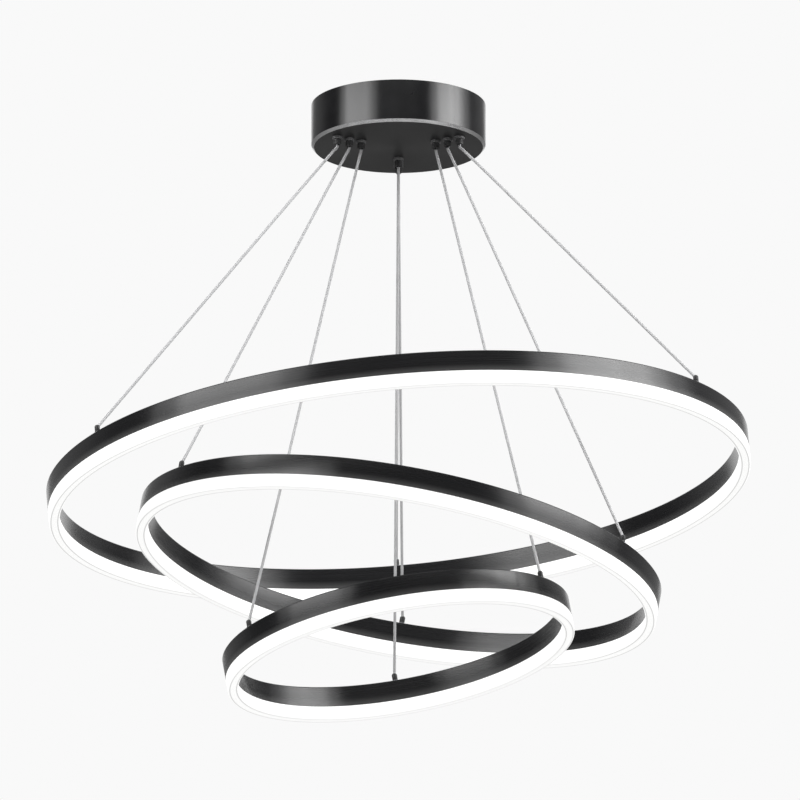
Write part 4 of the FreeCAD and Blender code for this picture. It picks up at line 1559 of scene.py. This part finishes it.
# ---- a ring ------------------------------------------------------------------------------------
@dataclass
class RingLight:
    """One ring: a rolled channel over an opal diffuser, with the light source between them.

    Attributes:
        plan: Where the ring hangs and how large it is.
        channel_height: The channel's height.
        wall: The thickness of its walls.
        shelf: The level of the underside of the shelf that carries the LED strip.
        bevel: The bevel of its top edges.
        softening: The rounding of its edges.
        joint_azimuth: Where the rolled profile's ends meet, in degrees.
        joint_gap: The gap between them.
        diffuser_wall: The thickness of the diffuser.
        diffuser_corner: The rounding of its lower corners.
        leg_height: How far its legs reach up into the channel.
        leg_thickness: The thickness of its legs.
        leg_clearance: The gap between a leg and the channel.
        chord: The length of a flat along the ring.
        stud: The radius of a terminal's stud.
        stud_foot: The level where the stud is cut off, inside the channel.
        washer: The radius of a terminal's washer.
        washer_height: Its height.
        cap: The radius of the cap on the washer.
        cap_line: Where the line turned into the cap starts and ends.
        cap_line_depth: Its depth.
        ball: The radius of the swivel ball in the cap.
        ball_arc: The part of the ball that shows, from its lower to its upper angle in degrees.
        turned_segments: How many flats a terminal has.
        turned_sharp: The angle in degrees above which an edge of it is sharp.
    """

    plan: RingPlan
    channel_height: float = 24.0 * MM
    wall: float = 1.4 * MM
    shelf: float = -9.6 * MM
    bevel: float = 1.2 * MM
    softening: float = 0.2 * MM
    joint_azimuth: float = 150.0
    joint_gap: float = 0.2 * MM
    diffuser_wall: float = 1.6 * MM
    diffuser_corner: float = 1.6 * MM
    leg_height: float = 6.0 * MM
    leg_thickness: float = 1.2 * MM
    leg_clearance: float = 0.1 * MM
    chord: float = 6.0 * MM
    stud: float = 1.5 * MM
    stud_foot: float = -1.0 * MM
    washer: float = 3.8 * MM
    washer_height: float = 1.0 * MM
    cap: float = 3.0 * MM
    cap_line: Corner = (2.4 * MM, 2.7 * MM)
    cap_line_depth: float = 0.15 * MM
    ball: float = 3.1 * MM
    ball_arc: Corner = (8.0, 84.0)
    turned_segments: int = 48
    turned_sharp: float = 50.0

    @property
    def segments(self) -> int:
        """How many flats go round the ring."""
        return 4 * math.ceil(2 * math.pi * self.plan.radius / self.chord / 4)

    @property
    def body(self) -> str:
        """The CAD body that the ring's pieces ride on."""
        return f"ring_{self.plan.name}"

    def channel(self) -> None:
        """Builds the channel: its section is swept once round, up to the gap at its joint."""
        out, inn = self.plan.radius, self.plan.radius - self.plan.width
        low, soft = -self.channel_height, self.softening
        outline = rounded([
            (out, low, soft), (out, -self.bevel, soft), (out - self.bevel, 0.0, soft),
            (inn + self.bevel, 0.0, soft), (inn, -self.bevel, soft), (inn, low, soft),
            (inn + self.wall, low, soft), (inn + self.wall, self.shelf),
            (out - self.wall, self.shelf), (out - self.wall, low, soft)], 4)
        gap = self.joint_gap / self.plan.middle
        start = math.radians(self.joint_azimuth) + gap / 2
        sweep = 2 * math.pi - gap
        rows = []
        for point in outline:
            angles = (start + sweep * j / self.segments for j in range(self.segments + 1))
            rows.append([Vector((point.x * math.cos(a), point.x * math.sin(a), point.y))
                         for a in angles])
        mould = Mould()
        skin = mould.skin(rows, wrap_rows=True)
        mould.cap([row[0] for row in skin])
        mould.cap([row[-1] for row in skin])
        node = f"{self.plan.name}_channel"
        mould.piece(f"{node}_rolled", [BLACK_CHANNEL], self.body, "black_channel", [node],
                    self.plan.place, sharp=32.0)

    def diffuser(self) -> None:
        """Builds the diffuser, hollow, with the legs that snap into the channel."""
        out, inn = self.plan.radius, self.plan.radius - self.plan.width
        top, low = -self.channel_height, -self.plan.height
        wall, soft = self.diffuser_wall, self.softening
        leg_top = top + self.leg_height
        leg_out = out - self.wall - self.leg_clearance
        leg_inn = inn + self.wall + self.leg_clearance
        inside_out, inside_inn = out - wall, inn + wall
        legs_out, legs_inn = leg_out - self.leg_thickness, leg_inn + self.leg_thickness
        outline = rounded([
            (out, top, soft), (out, low, self.diffuser_corner),
            (inn, low, self.diffuser_corner), (inn, top, soft),
            (leg_inn, top), (leg_inn, leg_top), (legs_inn, leg_top), (legs_inn, top),
            (inside_inn, top - wall), (inside_inn, low + wall),
            (inside_out, low + wall), (inside_out, top - wall),
            (legs_out, top), (legs_out, leg_top), (leg_out, leg_top), (leg_out, top)], 6)
        mould = Mould()
        mould.turn(outline, self.segments)
        node = f"{self.plan.name}_diffuser"
        mould.piece(f"{node}_opal", [OPAL], self.body, "diffuser", [node], self.plan.place,
                    sharp=40.0)

    def terminals(self) -> None:
        """Builds the three wire terminals: a washer, a cap and the swivel ball in it."""
        swivel, cap, depth = self.plan.swivel_height, self.cap, self.cap_line_depth
        start, end = self.cap_line
        outline = rounded([
            (0.3 * MM, self.stud_foot), (self.stud, self.stud_foot), (self.stud, 0.0),
            (self.washer, 0.0, 0.15 * MM), (self.washer, self.washer_height, 0.25 * MM),
            (cap, self.washer_height), (cap, start), (cap - depth, start + depth), (cap, end),
            (cap, swivel)], 4)
        low, high = self.ball_arc
        steps = 12
        angles = (math.radians(low + (high - low) * i / steps) for i in range(steps + 1))
        ball = [Vector((self.ball * math.cos(a), swivel + self.ball * math.sin(a)))
                for a in angles]
        slots = [int(point.y <= self.washer_height) for point in outline + ball]
        mould = Mould()
        for side in Side:
            mould.turn(outline + ball, self.turned_segments, self.plan.terminal(side), slots)
        node = f"{self.plan.name}_terminals"
        mould.piece(f"{node}_swivels", [BLACK_SMALL, WASHER_METAL], self.body,
                    "black_metal_small", [node], self.plan.place, sharp=self.turned_sharp)

    def build(self) -> None:
        """Builds the ring's pieces."""
        self.channel()
        self.diffuser()
        self.terminals()

    def dress(self) -> None:
        """Finishes what the ring holds inside."""
        name = self.plan.name
        dress(STRIP_WHITE, f"{name}_led_strip")
        dress(CHIP_PHOSPHOR, f"{name}_led_chips")
        dress(MILL_ALUMINIUM, f"{name}_splice_bar")
        dress(SCREW_STEEL, f"{name}_splice_screws")
        dress(ZINC, f"{name}_terminal_nuts")


def main() -> None:
    """Builds the studio, then the chandelier from its wires to its rings."""
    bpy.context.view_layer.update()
    Studio().build()
    wires = SuspensionWires()
    canopy = Canopy()
    grippers = Grippers()
    rings = [RingLight(plan) for plan in PLANS]
    for assembly in (wires, canopy, grippers, *rings):
        assembly.build()
    for assembly in (wires, canopy, Electrics(), grippers, *rings):
        assembly.dress()


if __name__ == "__main__":
    main()
